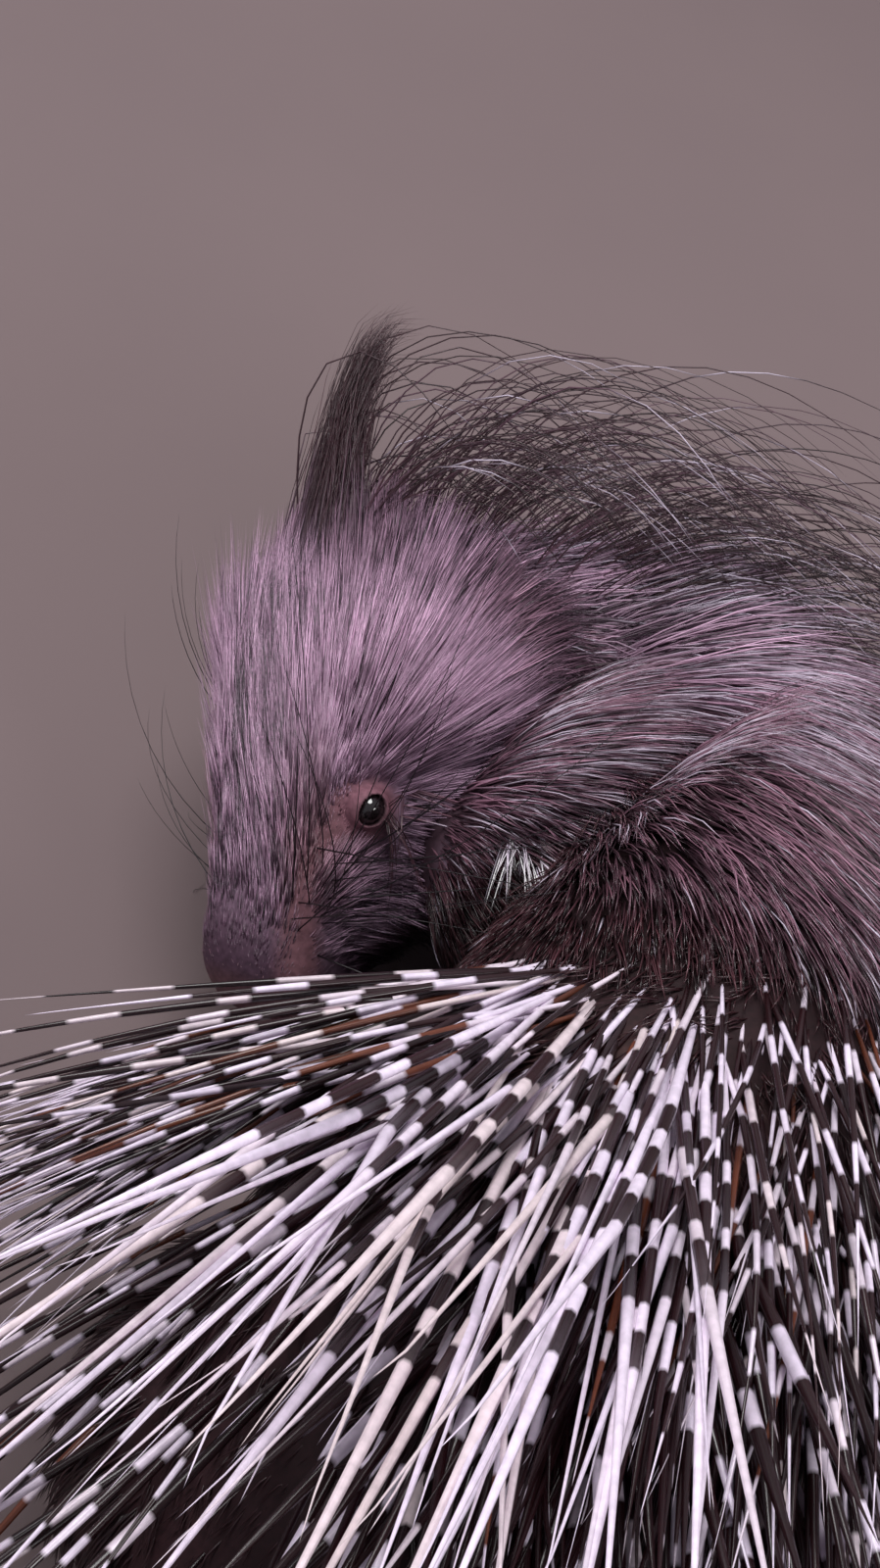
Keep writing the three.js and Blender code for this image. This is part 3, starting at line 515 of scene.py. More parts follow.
def limb_shells():
    for side, limb, foot in limbs_and_feet():
        x = beside_trunk(limb[0][0], limb[0][1], side)
        for _, y, z, radii in limb:
            yield ball(np.array([x, y, z]), np.array(radii) - LIMB_UNDER)
        out, y, long, wide, high, _ = foot
        x = beside_trunk(out, y, side)
        sole = np.array([wide / 2, long / 2, high * 0.7])
        yield ball(np.array([x, y - long * 0.1, high * 0.3]), sole - FOOT_UNDER)
        heel = np.array([wide * 0.42, long * 0.26, high * 0.72])
        yield ball(np.array([x, y - long * 0.26, high * 0.6]), heel - FOOT_UNDER)
        for root, ahead, radius in toes_of(foot, side):
            across = np.array([ahead[1], -ahead[0], 0])
            toe = np.array([radius, TOE_LENGTH / 2, radius * 1.1])
            yield ball(root, toe - FOOT_UNDER, [across, ahead, UP])


def sculpt_eye(co, side):
    """Sinks the opening between the lids round an eyeball and raises the lids over it."""
    _, rear, out, round_ = on_head(EYE_BEHIND_NOSE, side * EYE_ANGLE)
    d = co - eye_middle(side)
    x, y, z = d @ rear, d @ round_, d @ out
    away = np.hypot(x, y)
    near = (away < 22) & (z > -14)
    dome = np.sqrt(np.maximum((EYE_RADIUS + LID_THICK) ** 2 - away**2, 0.01))
    raised = np.maximum(z, dome - 0.35 * np.maximum(away - EYE_RADIUS, 0))
    brow = 1.0 * np.exp(-(((y * side) + 10) / 4.5) ** 2 - (x / 11) ** 2)
    corner = 0.5 * np.exp(-(((away - 9.5) / 1.6) ** 2))
    inside = 1 - smooth(0.88, 1.12, np.hypot(x / EYE_OPENING[0], y / EYE_OPENING[1]))
    shaped = mix(raised + brow - corner, -1.5, inside)
    change = np.where(near, (shaped - z) * (1 - smooth(9, 17, away)), 0)
    return co + out * change[:, None]


def sculpt_muzzle(co, normal):
    """Nostrils, the cleft of the upper lip, the line of the mouth and the lips."""
    up, left = head.axes(head.section(np.array(0.0)))
    d = co - NOSE
    behind, high, wide = -(d @ head_axis), d @ up, d @ left
    close = (behind < 60) & (np.hypot(high, wide) < 60)
    change = np.zeros_like(co)
    for side in (1, -1):
        a = (wide - side * 8.5) * 0.82 + (high - 1.0) * 0.57 * side
        b = -(wide - side * 8.5) * 0.57 * side + (high - 1.0) * 0.82
        bowed = b - 0.09 * a * a + 0.8
        hole = np.exp(-(((a / 4.2) ** 2 + (bowed / 1.7) ** 2) ** 1.5)) * (behind < 12)
        rim = np.exp(-((np.hypot(a / 5.6, bowed / 3.4) - 1) / 0.28) ** 2) * (behind < 12)
        change += normal * (0.9 * rim)[:, None] - head_axis * (6.5 * hole)[:, None]
    cleft = np.exp(-((wide / 1.1) ** 2)) * smooth(-19, -16, high) * (1 - smooth(-5, -1, high)) * (behind < 16)
    reach = 1 - smooth(28, 36, behind)
    low = np.abs(high + 16.5 + 0.1 * np.maximum(behind - 14, 0))
    groove = np.exp(-((low / 0.8) ** 2)) * reach
    lips = np.exp(-(((low - 2.6) / 1.5) ** 2)) * reach
    pads = np.exp(-(((behind - 12) / 11) ** 2 + ((np.abs(wide) - 15) / 9) ** 2 + ((high + 6) / 9) ** 2))
    change += normal * (0.9 * lips - 3.0 * groove - 1.8 * cleft + 2.4 * pads)[:, None]
    return co + np.where(close[:, None], change, 0)


def refine(bm, inside):
    """Splits the faces whose corners all lie inside."""
    marked = {v for v in bm.verts if inside(v.co)}
    edges = [e for e in bm.edges if e.verts[0] in marked and e.verts[1] in marked]
    bmesh.ops.subdivide_edges(bm, edges=edges, cuts=1, use_grid_fill=True)


def all_shells():
    """The points and faces of all flesh forms, in metres, as one mesh."""
    shells = [
        shell(head, 90, 72),
        shell(neck, 60, 72),
        shell(trunk, 110, 90),
        shell(tail, 30, 40),
        ball(np.array(NECK_FOLD[0], float), np.array(NECK_FOLD[1]) - neck.under),
        *limb_shells(),
    ]
    points, faces, start = [], [], 0
    for p, f in shells:
        points.append(p)
        faces += [[start + i for i in face] for face in f]
        start += len(p)
    mesh = bpy.data.meshes.new("skin")
    mesh.from_pydata(to_row(np.concatenate(points)).tolist(), [], faces)
    return mesh


def one_surface(mesh):
    """The mesh's closed shells joined into one soft surface."""
    rough = linked("skin_shells", mesh)
    remesh = rough.modifiers.new("one skin", "REMESH")
    remesh.mode = "VOXEL"
    remesh.voxel_size = VOXEL * 0.001
    soften = rough.modifiers.new("soften", "SMOOTH")
    soften.factor = 0.5
    soften.iterations = 7
    whole = bpy.data.meshes.new_from_object(rough.evaluated_get(bpy.context.evaluated_depsgraph_get()))
    bpy.data.objects.remove(rough)
    return whole


def make_skin():
    whole = one_surface(all_shells())
    bm = bmesh.new()
    bm.from_mesh(whole)
    eyes = [Vector(to_row(eye_middle(side))) for side in (1, -1)]
    snout = Vector(to_row(NOSE - head_axis * 12))
    for reach, muzzle in ((0.018, 0.036), (0.014, 0.032)):
        refine(bm, lambda co: min((co - e).length for e in eyes) < reach or (co - snout).length < muzzle)
    bm.normal_update()
    bm.to_mesh(whole)
    bm.free()
    co = sculpt_muzzle(from_row(read_vertices(whole)), read_vertices(whole, "normal"))
    for side in (1, -1):
        co = sculpt_eye(co, side)
    co[:, 2] = np.maximum(co[:, 2], 0.3)
    whole.vertices.foreach_set("co", to_row(co).ravel())
    whole.update()
    whole.polygons.foreach_set("use_smooth", np.ones(len(whole.polygons), bool))
    whole.materials.clear()
    whole.materials.append(skin_finish)
    return linked("skin", whole), co


# Colours as the photograph shows them

FOREHEAD = linear((150, 120, 142))
CROWN_BROWN = linear((66, 38, 46))
MUZZLE = linear((92, 66, 84))
EYE_BAND = linear((124, 86, 94))
EYE_RING = linear((130, 88, 100))
NOSE_SKIN = linear((120, 84, 92))
CHEEK_GREY = linear((188, 156, 180))
CHEEK_DARK = linear((44, 32, 46))
NECK_BROWN = linear((124, 90, 106))
NECK_LILAC = linear((188, 156, 180))
BODY_BROWN = linear((62, 35, 40))
BELLY = linear((52, 38, 42))
WHITE = linear((238, 223, 243))
CREAM = linear((214, 192, 178))
QUILL_DARK = linear((36, 13, 17))
QUILL_CHESTNUT = linear((96, 50, 34))
SKIN_RED = linear((112, 74, 70))
FOOT = linear((44, 34, 36))
EAR = linear((116, 80, 88))
WHISKER = linear((20, 12, 18))


def layered(base, *layers):
    """base, covered by each (colour, cover) in turn."""
    colour = np.asarray(base, float)
    for layer, cover in layers:
        colour = mix(colour, layer, np.asarray(cover)[..., None])
    return colour


# The short-haired band from over the eye down to the muzzle: behind the nose, angle of its middle
BARE_LINE = [(10, 70), (20, 64), (30, 52), (40, 46), (57, 50), (66, 47), (80, 40)]


# Where the cheek meets the fold of the throat, whose skin is painted dark there as painted shade in the
# crease: behind the nose, angle
CHEEK_CREASE = [(86, 98), (74, 108)]


def bare_line(behind):
    return np.interp(behind, *np.array(BARE_LINE, float).T)


def bare_band(behind, side, wide=10):
    off = (side - bare_line(behind)) / wide
    return np.exp(-(off**2)) * smooth(6, 16, behind) * (1 - smooth(74, 86, behind))


def head_colour(behind, angle, point):
    side = np.abs(angle)
    low = smooth(86, 112, side + 0.35 * (50 - behind))
    band = bare_band(behind, side, 15) * (1 - smooth(54, 72, behind)) * mix(0.45, 0.9, smooth(22, 42, behind))
    return layered(
        np.broadcast_to(FOREHEAD, point.shape),
        (CHEEK_GREY, smooth(66, 86, side)),
        (CHEEK_DARK, low * smooth(8, 26, behind) * (1 - smooth(56, 84, behind))),
        (MUZZLE, 1 - smooth(14, 34, behind)),
        (EYE_BAND, band),
        (CROWN_BROWN, smooth(94, 126, behind) * (1 - smooth(16, 46, side)) * 0.55),
        (NECK_BROWN, smooth(88, 118, behind) * smooth(40, 72, side) * 0.8),
        (BODY_BROWN, smooth(112, 130, side) * smooth(50, 90, behind)),
        (EYE_RING, 1 - smooth(8, 14, away_from(point, EYE_BEHIND_NOSE - 5, EYE_ANGLE))),
        (NOSE_SKIN, 1 - smooth(3, 10, behind)),
    )


def neck_colour(u, angle, point):
    side = np.abs(angle)
    return layered(
        np.broadcast_to(NECK_BROWN, point.shape),
        (NECK_LILAC, (1 - smooth(60, 110, side)) * (1 - 0.9 * smooth(0.4, 0.8, u)) * 0.7),
        (BODY_BROWN, smooth(100, 130, side)),
    )


def trunk_colour(u, angle, point):
    side = np.abs(angle)
    return layered(
        np.broadcast_to(BODY_BROWN, point.shape),
        (BELLY, smooth(100, 140, side)),
    )


def coat_at(places):
    """The coat's colour at the point of the forms that is nearest to each place."""
    grid = np.meshgrid(np.linspace(0, 1, 90), np.arange(-180, 180, 4.0), indexing="ij")
    u, angle = (a.ravel() for a in grid)
    spots, colours = [], []
    coats = {head: head_paint, neck: neck_colour, trunk: trunk_paint, tail: trunk_paint}
    for loft, colour_of in coats.items():
        spots.append(loft.point(u, angle, -3.0))
        colours.append(colour_of(u, angle, spots[-1]))
    spots, colours = np.concatenate(spots), np.concatenate(colours)
    tree = KDTree(len(spots))
    for i, spot in enumerate(spots):
        tree.insert(spot, i)
    tree.balance()
    return colours[np.array([tree.find(place)[1] for place in places])]


def cover_near(co, places, full, none):
    """How far each point is covered by spots round places on the head, given as behind the nose and angle."""
    away = [np.linalg.norm(co - on_head(behind, angle)[0], axis=-1) for behind, angle in places]
    return 1 - smooth(full, none, np.min(away, axis=0))


def foot_cover(co):
    covered = np.zeros(len(co))
    for side, _, (out, y, long, wide, _, _) in limbs_and_feet():
        x = beside_trunk(out, y, side)
        far = np.maximum(np.abs(co[:, 0] - x) / (wide * 0.75), np.abs(co[:, 1] - y - 8) / (long * 0.75))
        covered = np.maximum(covered, 1 - smooth(0.9, 1.2, far))
    return covered * (1 - smooth(16, 34, co[:, 2]))


def skin_colours(co):
    """The coat's own colour, darkened as painted shade under the hair, with the bare places, a painted shade
    in the cheek's crease, and the feet.
    """
    in_head = smooth(-30, -60, co[:, 1]) * smooth(60, 30, co[:, 0]) * smooth(20, 40, co[:, 2])
    behind = (NOSE - co) @ head_axis
    line = [(away, side * bare_line(away)) for side in (1, -1) for away in range(10, 82, 6)]
    eye_away = away_from(co, EYE_BEHIND_NOSE, EYE_ANGLE)
    return layered(
        # Skin under the coat is darkened as painted shade between the hairs.
        coat_at(co) * mix(0.4, 0.7, in_head)[:, None],
        (EYE_BAND, cover_near(co, line, 3, 12) * (behind > 0) * (behind < 100)),
        # The crease between the cheek and the fold is painted dark: painted shade.
        (NECK_BROWN * 0.3, cover_near(co, CHEEK_CREASE, 14, 24)),
        (FOOT, foot_cover(co)),
        (EYE_RING, 1 - smooth(8, 13, eye_away)),
        (EYE_RING * 0.2, 1 - smooth(5.0, 6.4, eye_away)),
    )


def head_paint(u, angle, point):
    return head_colour(np.interp(u, track, behind_track), angle, point)


def trunk_paint(u, angle, point):
    patch = np.exp(-(((point[..., 1] + 236) / 26) ** 2 + ((angle - 12) / 22) ** 2))
    return layered(trunk_colour(u, angle, point), (SKIN_RED, patch))


# Coat

def scatter(rng, loft, count, weight):
    """Random places on a loft, as dense as weight(u, angle) says for each area of surface."""
    found_u, found_angle, total = [], [], 0
    while total < count:
        u, angle = rng.random(4 * count), rng.uniform(-180, 180, 4 * count)
        _, _, _, _, along, across = loft.frame(u, angle)
        chance = along * across
        chance = chance / chance.max() * weight(u, angle)
        keep = rng.random(len(u)) < chance / max(chance.max(), 1e-9)
        found_u.append(u[keep])
        found_angle.append(angle[keep])
        total += keep.sum()
    return np.concatenate(found_u)[:count], np.concatenate(found_angle)[:count]


def lie(loft, u, angle, long, sweep, pitch, follow=1.0, droop=0.0, steps=3):
    """Paths that start on the loft, run back over it and turn with it. sweep is the angle from the rearward
    direction towards the left, pitch the angle off the surface, each as (at the root, at the tip)."""
    here, rear, out, round_, along, across = loft.frame(u, angle)
    place = here - out * (loft.under + ROOT_DEPTH)
    path, normals = [place], [out]
    stride = long / steps
    for k in range(steps):
        t = (k + 0.5) / steps
        way, lift = (np.radians(mix(*turn, t))[..., None] for turn in (sweep, pitch))
        step = rear * np.cos(way) + round_ * np.sin(way)
        step = unit(step * np.cos(lift) + out * np.sin(lift) - UP * (droop * t))
        place = place + step * stride[..., None]
        u = np.clip(u + follow * stride * np.sum(step * rear, -1) / along, 0, 1)
        angle = angle + follow * stride * np.sum(step * round_, -1) / np.maximum(across, 0.2)
        _, rear, out, round_, along, across = loft.frame(u, angle)
        path.append(place)
        normals.append(out)
    return np.stack(path, 1), np.stack(normals, 1)


def spread_out(rng, path, normals, count, width, gather):
    """count strands for each path, scattered round its root and drawn together towards its tip."""
    n, stations, _ = path.shape
    along = unit(path[:, 1] - path[:, 0])
    across = unit(np.cross(along, normals[:, 0]))
    along, across, over = (v[:, None] for v in (along, across, np.cross(across, along)))
    shift = rng.normal(0, 1, (n, count, 3))
    root = (across * shift[..., 0:1] + over * shift[..., 1:2] * 0.35 + along * shift[..., 2:3]) * width
    t = np.linspace(0, 1, stations)[None, None, :, None]
    reach = rng.uniform(0.72, 1.0, (n, count, 1, 1))
    fan_out = across * rng.normal(0, 1, (n, count, 1)) + over * rng.normal(0, 0.5, (n, count, 1))
    long = np.linalg.norm(path[:, -1] - path[:, 0], axis=-1)[:, None, None, None]
    first = path[:, None, :1]
    strands = first + (path[:, None] - first) * reach + root[:, :, None] * (1 - gather * t)
    strands = strands + fan_out[:, :, None] * t**1.5 * long * 0.035
    normals = np.broadcast_to(normals[:, None], strands.shape)
    return strands.reshape(-1, stations, 3), normals.reshape(-1, stations, 3)


def bars(name, path, normals, wide, thick, colours, uv, mat, slot, sides=3, patch=(0.003, 0.003)):
    """Tapered bars along the paths, each of them closed, as one object. wide and thick are for every station
    but the last, which is the point; colours are for every station."""
    n, stations, _ = path.shape
    rings = stations - 1
    path = path.copy()
    path[..., 2] = np.maximum(path[..., 2], 0.6)
    along = np.empty_like(path)
    along[:, 1:-1] = path[:, 2:] - path[:, :-2]
    along[:, 0] = path[:, 1] - path[:, 0]
    along[:, -1] = path[:, -1] - path[:, -2]
    along = unit(along)
    across = unit(np.cross(along, normals))
    over = np.cross(across, along)
    turn = np.linspace(0, 2 * math.pi, sides, endpoint=False) + math.pi / 2
    wide, thick = (np.broadcast_to(size, (n, rings))[..., None, None] / 2 for size in (wide, thick))
    ring = path[:, :rings, None]
    ring = ring + across[:, :rings, None] * (np.cos(turn)[None, None, :, None] * wide)
    ring = ring + over[:, :rings, None] * (np.sin(turn)[None, None, :, None] * thick)
    ring[..., 2] = np.maximum(ring[..., 2], 0.3)
    points = np.concatenate([ring.reshape(n, -1, 3), path[:, -1:]], axis=1).reshape(-1, 3)
    colour = np.concatenate([np.repeat(colours[:, :rings], sides, axis=1), colours[:, -1:]], axis=1)
    t = np.linspace(0, 1, stations)
    local_u = np.concatenate([np.tile((np.arange(sides) / sides - 0.5), rings), [0.0]]) * patch[0]
    local_v = np.concatenate([np.repeat(t[:rings], sides), [1.0]]) * patch[1]
    place = uv[:, None] + np.stack([local_u, local_v], -1)[None]
    tip = rings * sides
    base = (np.arange(n) * (tip + 1))[:, None, None]
    quads = (base + tube_quads(rings, sides)).reshape(-1, 4)
    tips = (base + fan(tip, tip - sides, sides)[:, [2, 1, 0]]).reshape(-1, 3)
    roots = base[..., 0] + np.arange(sides)[::-1][None]
    obj = mesh_object(name, to_row(points), [quads, tips, roots], mat)
    paint(obj.data, colour.reshape(-1, 3))
    unwrap(obj.data, place.reshape(-1, 2))
    return finished(obj, slot)


def taper(stations, root=0.75, full=0.25, point=1.6):
    """Width along a strand: narrower at the root, full soon after and falling to the tip."""
    t = np.linspace(0, 1, stations)[:-1]
    return (root + (1 - root) * smooth(0, full, t)) * (1 - t**point * 0.75)


def given(value, u, angle):
    """What a function says of the places, or the same number or pair for all of them."""
    return value(u, angle) if callable(value) else value


def strand_values(rng, many, sizes):
    """For every strand its width, and a value from 0 to 1 that is much alike within a tuft."""
    wide = sizes[many] * rng.uniform(0.75, 1.2, len(many))
    return wide, 0.7 * rng.random(len(sizes))[many] + 0.3 * rng.random(len(many))


def fur(
    name, seed, loft, count, each, weight, long, sweep, pitch, wide, colour_of, slot,
    spread=1.8, gather=0.3, stray=7.0, ruffle=3.0, steps=3, **options,
):
    """Tufts over a part of a loft. long, sweep, pitch and wide are numbers or functions of (u, angle);
    colour_of gives the colour at each station from (u, angle, point, t, random)."""
    rng = np.random.default_rng(seed)
    u, angle = scatter(rng, loft, count, weight)
    length = given(long, u, angle) * rng.uniform(0.8, 1.2, count)
    turn = tuple(way + rng.normal(0, stray, count) for way in given(sweep, u, angle))
    lift = tuple(way + rng.normal(0, ruffle, count) for way in given(pitch, u, angle))
    path, normals = lie(loft, u, angle, length, turn, lift, steps=steps, **options)
    start = path[:, 0]
    path, normals = spread_out(rng, path, normals, each, spread, gather)
    many = np.repeat(np.arange(count), each)
    size, vary = strand_values(rng, many, np.broadcast_to(given(wide, u, angle), count))
    colours = colour_of(u[many], angle[many], start[many], np.linspace(0, 1, steps + 1), vary)
    uv = loft.uv(u, angle)[many] + rng.uniform(-0.0006, 0.0006, (len(many), 2))
    width = size[:, None] * taper(steps + 1)[None]
    bars(name, path, normals, width, width * 0.5, colours, uv, hair_finish, slot)


def rng_like(vary):
    """A second value from 0 to 1 for each strand, not tied to the first."""
    return (vary * 97.31) % 1.0


def graded(root, tip, t, vary, spread=0.6):
    """A colour from root to tip for every station, with each strand a little lighter or darker. Where the
    root is given darker than the tip, this is partly the hair's own colour and partly painted shade deep in
    the coat and painted sheen towards the tip.
    """
    root, tip = (np.broadcast_to(c, (len(vary), 3)) for c in (root, tip))
    colour = root[:, None] + (tip - root)[:, None] * t[None, :, None]
    return colour * (1 - spread / 2 + spread * vary)[:, None, None]


def eye_distance(u, angle):
    return away_from(head.point(u, angle), EYE_BEHIND_NOSE, EYE_ANGLE)


def ear_distance(u, angle):
    return away_from(head.point(u, angle), EAR_BEHIND_NOSE - 4, EAR_ANGLE)


def behind_of(u):
    return np.interp(u, track, behind_track)


# How far the hair turns from rearward towards the throat: angle round the head, then degrees beside the eye
# and in front of it, and degrees behind it
HEAD_TURN = [
    (0, 0, 0),
    (8, -6, -10),
    (24, -16, -12),
    (46, -16, 2),
    (62, 10, 24),
    (72, 56, 40),
    (84, 80, 56),
    (100, 92, 68),
    (124, 90, 76),
    (150, 46, 46),
    (180, 0, 0),
]


def head_sweep(u, angle):
    """Above the eye the hair turns towards the crown, and below it, ever more, towards the throat."""
    side, behind = np.abs(angle), behind_of(u)
    beside, after = (np.interp(side, *np.array(HEAD_TURN, float).T[[0, k]]) for k in (1, 2))
    turn = mix(beside, after, smooth(64, 88, behind)) * smooth(6, 40, behind) * np.sign(angle)
    return turn, turn * 0.9


def head_long(u, angle):
    behind, side = behind_of(u), np.abs(angle)
    top = np.interp(behind, [0, 8, 20, 40, 60, 95, 115, 135], [3, 4.5, 10, 26, 42, 56, 46, 36])
    low = np.interp(behind, [0, 8, 20, 40, 60, 95, 115, 135], [3, 4.5, 9, 26, 46, 58, 56, 50])
    long = mix(top, low, smooth(48, 84, side)) * (1 - 0.76 * bare_band(behind, side))
    ahead = (1 - smooth(66, 78, behind)) * smooth(36, 52, side)
    return np.maximum(long * smooth(6, mix(13, 38, ahead), eye_distance(u, angle)), 3.0)


def head_pitch(u, angle):
    """The forehead's hair stands off the skin, the rest lies closer."""
    behind = behind_of(u)
    high = (1 - smooth(40, 80, np.abs(angle))) * smooth(16, 60, behind) * (1 - 0.8 * smooth(88, 112, behind))
    low = smooth(84, 112, np.abs(angle)) * smooth(44, 60, behind)
    return mix(19.0, 32.0, high) + 34 * low, mix(5.0, 18.0, high) + 12 * low


def head_wide(u, angle):
    return np.interp(behind_of(u), [0, 20, 60, 115], [0.5, 0.5, 0.62, 0.75])


def head_hair(u, angle, point, t, vary):
    """The head's colours, with dark and pale tufts among them except round the eye. The tufts are partly the
    hair's own dark and pale strands, and partly painted shade between strands and painted highlights.
    """
    side, behind, near = np.abs(angle), behind_of(u), eye_distance(u, angle)
    mottle_and_painted_light = smooth(4, 24, behind) * (1 - smooth(84, 112, side)) * smooth(12, 34, near)
    mottle_and_painted_light = mottle_and_painted_light * (1 - 0.7 * bare_band(behind, side, 12))
    # Hair beside and behind the eye is painted lighter: painted light against the shade that falls there.
    painted_light_by_eye = 0.35 * smooth(62, 76, behind) * (1 - smooth(16, 44, near))
    # Dark tufts are partly painted shade between strands, and pale tufts are partly painted highlights.
    light = (1 + painted_light_by_eye) * (1 - 0.86 * mottle_and_painted_light * (vary < 0.38) + mottle_and_painted_light * (vary > 0.66))
    base = head_paint(u, angle, point) * light[:, None]
    # Darker roots and lighter tips: partly the hair's own colour, partly painted shade deep in the coat and
    # painted sheen.
    return graded(base * 0.75, base * 1.15, t, rng_like(vary), spread=0.6)


def open_places(u, angle):
    """Leaves out the eyes, the nostrils and the insides of the ears."""
    by_ear = smooth(0, 3, ear_distance(u, angle))
    return smooth(7.8, 9.5, eye_distance(u, angle)) * by_ear * smooth(3, 6, behind_of(u))


def by_eye(u, angle):
    """The hair starts closer together round the eye, where it parts."""
    return 1 + 1.6 * np.exp(-(((eye_distance(u, angle) - 17) / 11) ** 2)) * smooth(64, 76, behind_of(u))


def head_fur():
    regions = {
        "muzzle_fur": (2500, lambda b, a: 1 - smooth(34, 42, b)),
        "forehead_fur_left": (3800, lambda b, a: smooth(34, 42, b) * (a >= 0) * (a < 62)),
        "forehead_fur_right": (1700, lambda b, a: smooth(34, 42, b) * (a < 0) * (a > -62)),
        "cheek_fur_left": (3400, lambda b, a: smooth(34, 42, b) * (a >= 62)),
        "cheek_fur_right": (1500, lambda b, a: smooth(34, 42, b) * (a <= -62)),
    }
    for seed, (name, (count, region)) in enumerate(regions.items()):
        fur(
            name, 100 + seed, head, count, 4,
            lambda u, a: region(behind_of(u), a) * open_places(u, a) * by_eye(u, a),
            head_long, head_sweep, head_pitch, head_wide, head_hair, "head_fur",
            spread=0.9, gather=0.2, stray=4.0, ruffle=7.0, steps=2, follow=0.6,
        )


# The tuft of the crown: the part of its length, then how far its middle has gone to the right and up
TUFT_LINE = [(0, 0, 0), (0.25, 2, 36), (0.5, 6, 68), (0.7, 13, 87), (0.87, 23, 97), (1, 31, 92)]


def crown_tuft():
    """The long hair of the crown, drawn together into one tuft that curls over at its tip."""
    rng = np.random.default_rng(7)
    count, steps, each = 400, 6, 3
    front = head_u(96)
    u = rng.uniform(front, 1.0, count)
    angle = rng.normal(-5, 11, count)
    back = smooth(front, 1.0, u)
    flat = np.zeros(count)
    path, normals = lie(head, u, angle, mix(50, 90, back), (flat, flat), (flat + 40, flat + 24), steps=steps)
    t = np.linspace(0, 1, steps + 1)
    reach = t[None] * (mix(0.45, 0.9, back) * rng.uniform(0.8, 1.1, count))[:, None]
    line = np.array(TUFT_LINE, float).T
    right, up = (np.interp(reach, line[0], line[k])[..., None] for k in (1, 2))
    base = head.point(np.array([1.0]), np.array([0.0]))[0] - TO_TOP * 8
    aside = rng.normal(0, 1, (count, 1, 3)) * mix(4.0, 1.4, reach)[..., None]
    path = mix(path, base + TO_RIGHT * right + TO_TOP * up + aside, smooth(0, 0.75, t)[None, :, None])
    path, normals = spread_out(rng, path, normals, each, 1.1, 0.6)
    many = np.repeat(np.arange(count), each)
    width = rng.uniform(0.45, 0.8, (len(many), 1)) * taper(steps + 1)[None]
    vary = rng.random(len(many))
    grey = graded(FOREHEAD * 0.6, FOREHEAD, t, vary)
    brown = graded(CROWN_BROWN * 0.7, CROWN_BROWN * 0.8, t, vary)
    colour = mix(grey, brown, smooth(0.15, 0.55, t)[None, :, None])
    uv = head.uv(u, angle)[many]
    bars("crown_tuft", path, normals, width, width * 0.5, colour, uv, hair_finish, "head_fur")


def pale_length(rng, t, starts, lengths, share, fade):
    """How far a pale length covers some of the strands. fade is how softly it starts and ends."""
    count = len(t)
    start = rng.uniform(*starts, count)[:, None]
    stop = start + rng.uniform(*lengths, count)[:, None]
    has = (rng.random(count) < share)[:, None]
    before, after, end = fade
    return (smooth(start - before, start + after, t) * (1 - smooth(stop, stop + end, t)) * has)[..., None]


def bristle_colours(seed, vary, base, share, stations):
    """Bristles of the base colour, some of them with a pale length near the tip. Some bristles are much
    darker and some much lighter: partly their own colour, and partly painted shade between bristles and
    painted highlights.
    """
    rng = np.random.default_rng(seed)
    count = len(vary)
    t = np.broadcast_to(np.linspace(0, 1, stations), (count, stations))
    # Dark and light bristles: partly their own colour, and partly painted shade between bristles and painted
    # highlights.
    light = np.where(vary < 0.34, 0.25, np.where(vary > 0.7, 1.8, 1.0))
    # Darker roots and lighter tips: partly the bristles' own colour, partly painted shade deep in the coat
    # and painted sheen.
    colour = graded(base * 0.6, base * 1.35, t[0], rng.random(count), spread=0.6) * light[:, None, None]
    return mix(colour, WHITE * 0.85, pale_length(rng, t, (0.4, 0.8), (0.16, 0.4), share, (0.06, 0.02, 0.08)))


def neck_sweep(u, angle):
    """The hair of the neck turns towards the outside of its bend."""
    turn = mix(-8.0, -54.0, smooth(0.0, 0.45, u)) * mix(1.0, 0.5, smooth(-70, -120, angle))
    return turn, turn * 0.8


def neck_fur():
    def long(u, a):
        return mix(84, 32, smooth(70, 125, np.abs(a))) * mix(0.6, 1.0, smooth(0.0, 0.4, u))

    def pitch(u, a):
        return mix(10.0, 17.0, smooth(0.1, 0.4, u)), 3.0

    def colour(u, a, point, t, vary):
        share = 0.42 * (1 - smooth(85, 110, np.abs(a))) * smooth(0.0, 0.25, u) + 0.1
        return bristle_colours(31, vary, neck_colour(u, a, point), share, len(t))

    sides = {"outer": lambda u, a: a < 20, "inner": lambda u, a: a >= 20}
    for seed, (word, weight) in enumerate(sides.items()):
        fur(
            f"neck_bristles_{word}", 40 + seed, neck, 2100, 3, weight, long, neck_sweep, pitch, 0.95, colour,
            "crest_bristles", gather=0.1, stray=4.0, droop=0.08, follow=0.35,
        )


def trunk_y(u, angle):
    return trunk.point(u, angle)[..., 1]


def shoulder_fur():
    def weight(u, a):
        return smooth(-8, 2, trunk_y(u, a) - quill_front(a)) * (1 - smooth(120, 140, np.abs(a)))

    def long(u, a):
        return mix(66, 32, smooth(30, 105, np.abs(a))) * mix(1.0, 0.45, smooth(-95, -160, trunk_y(u, a)))

    def sweep(u, a):
        turn = mix(-64.0, -30.0, smooth(-60, -150, trunk_y(u, a)))
        turn = turn * (1 - smooth(60, 100, a)) * (1 - 0.5 * smooth(-50, -95, a))
        return turn, turn * 0.7

    def colour(u, a, point, t, vary):
        side, y = np.abs(a), point[:, 1]
        neck_like = 0.85 * (1 - smooth(30, 80, side)) * smooth(-150, -90, y)
        share = 0.45 * (1 - smooth(20, 60, side + 30 * (a > 0))) * smooth(-150, -100, y) + 0.03
        base = layered(trunk_colour(u, a, point), (NECK_BROWN, neck_like))
        return bristle_colours(32, vary, base, share, len(t))

    fur(
        "shoulder_bristles", 50, trunk, 2700, 3, weight, long, sweep, (16.0, 5.0), 1.2, colour,
        "crest_bristles", gather=0.2, stray=5.0, droop=0.12, follow=0.6,
    )


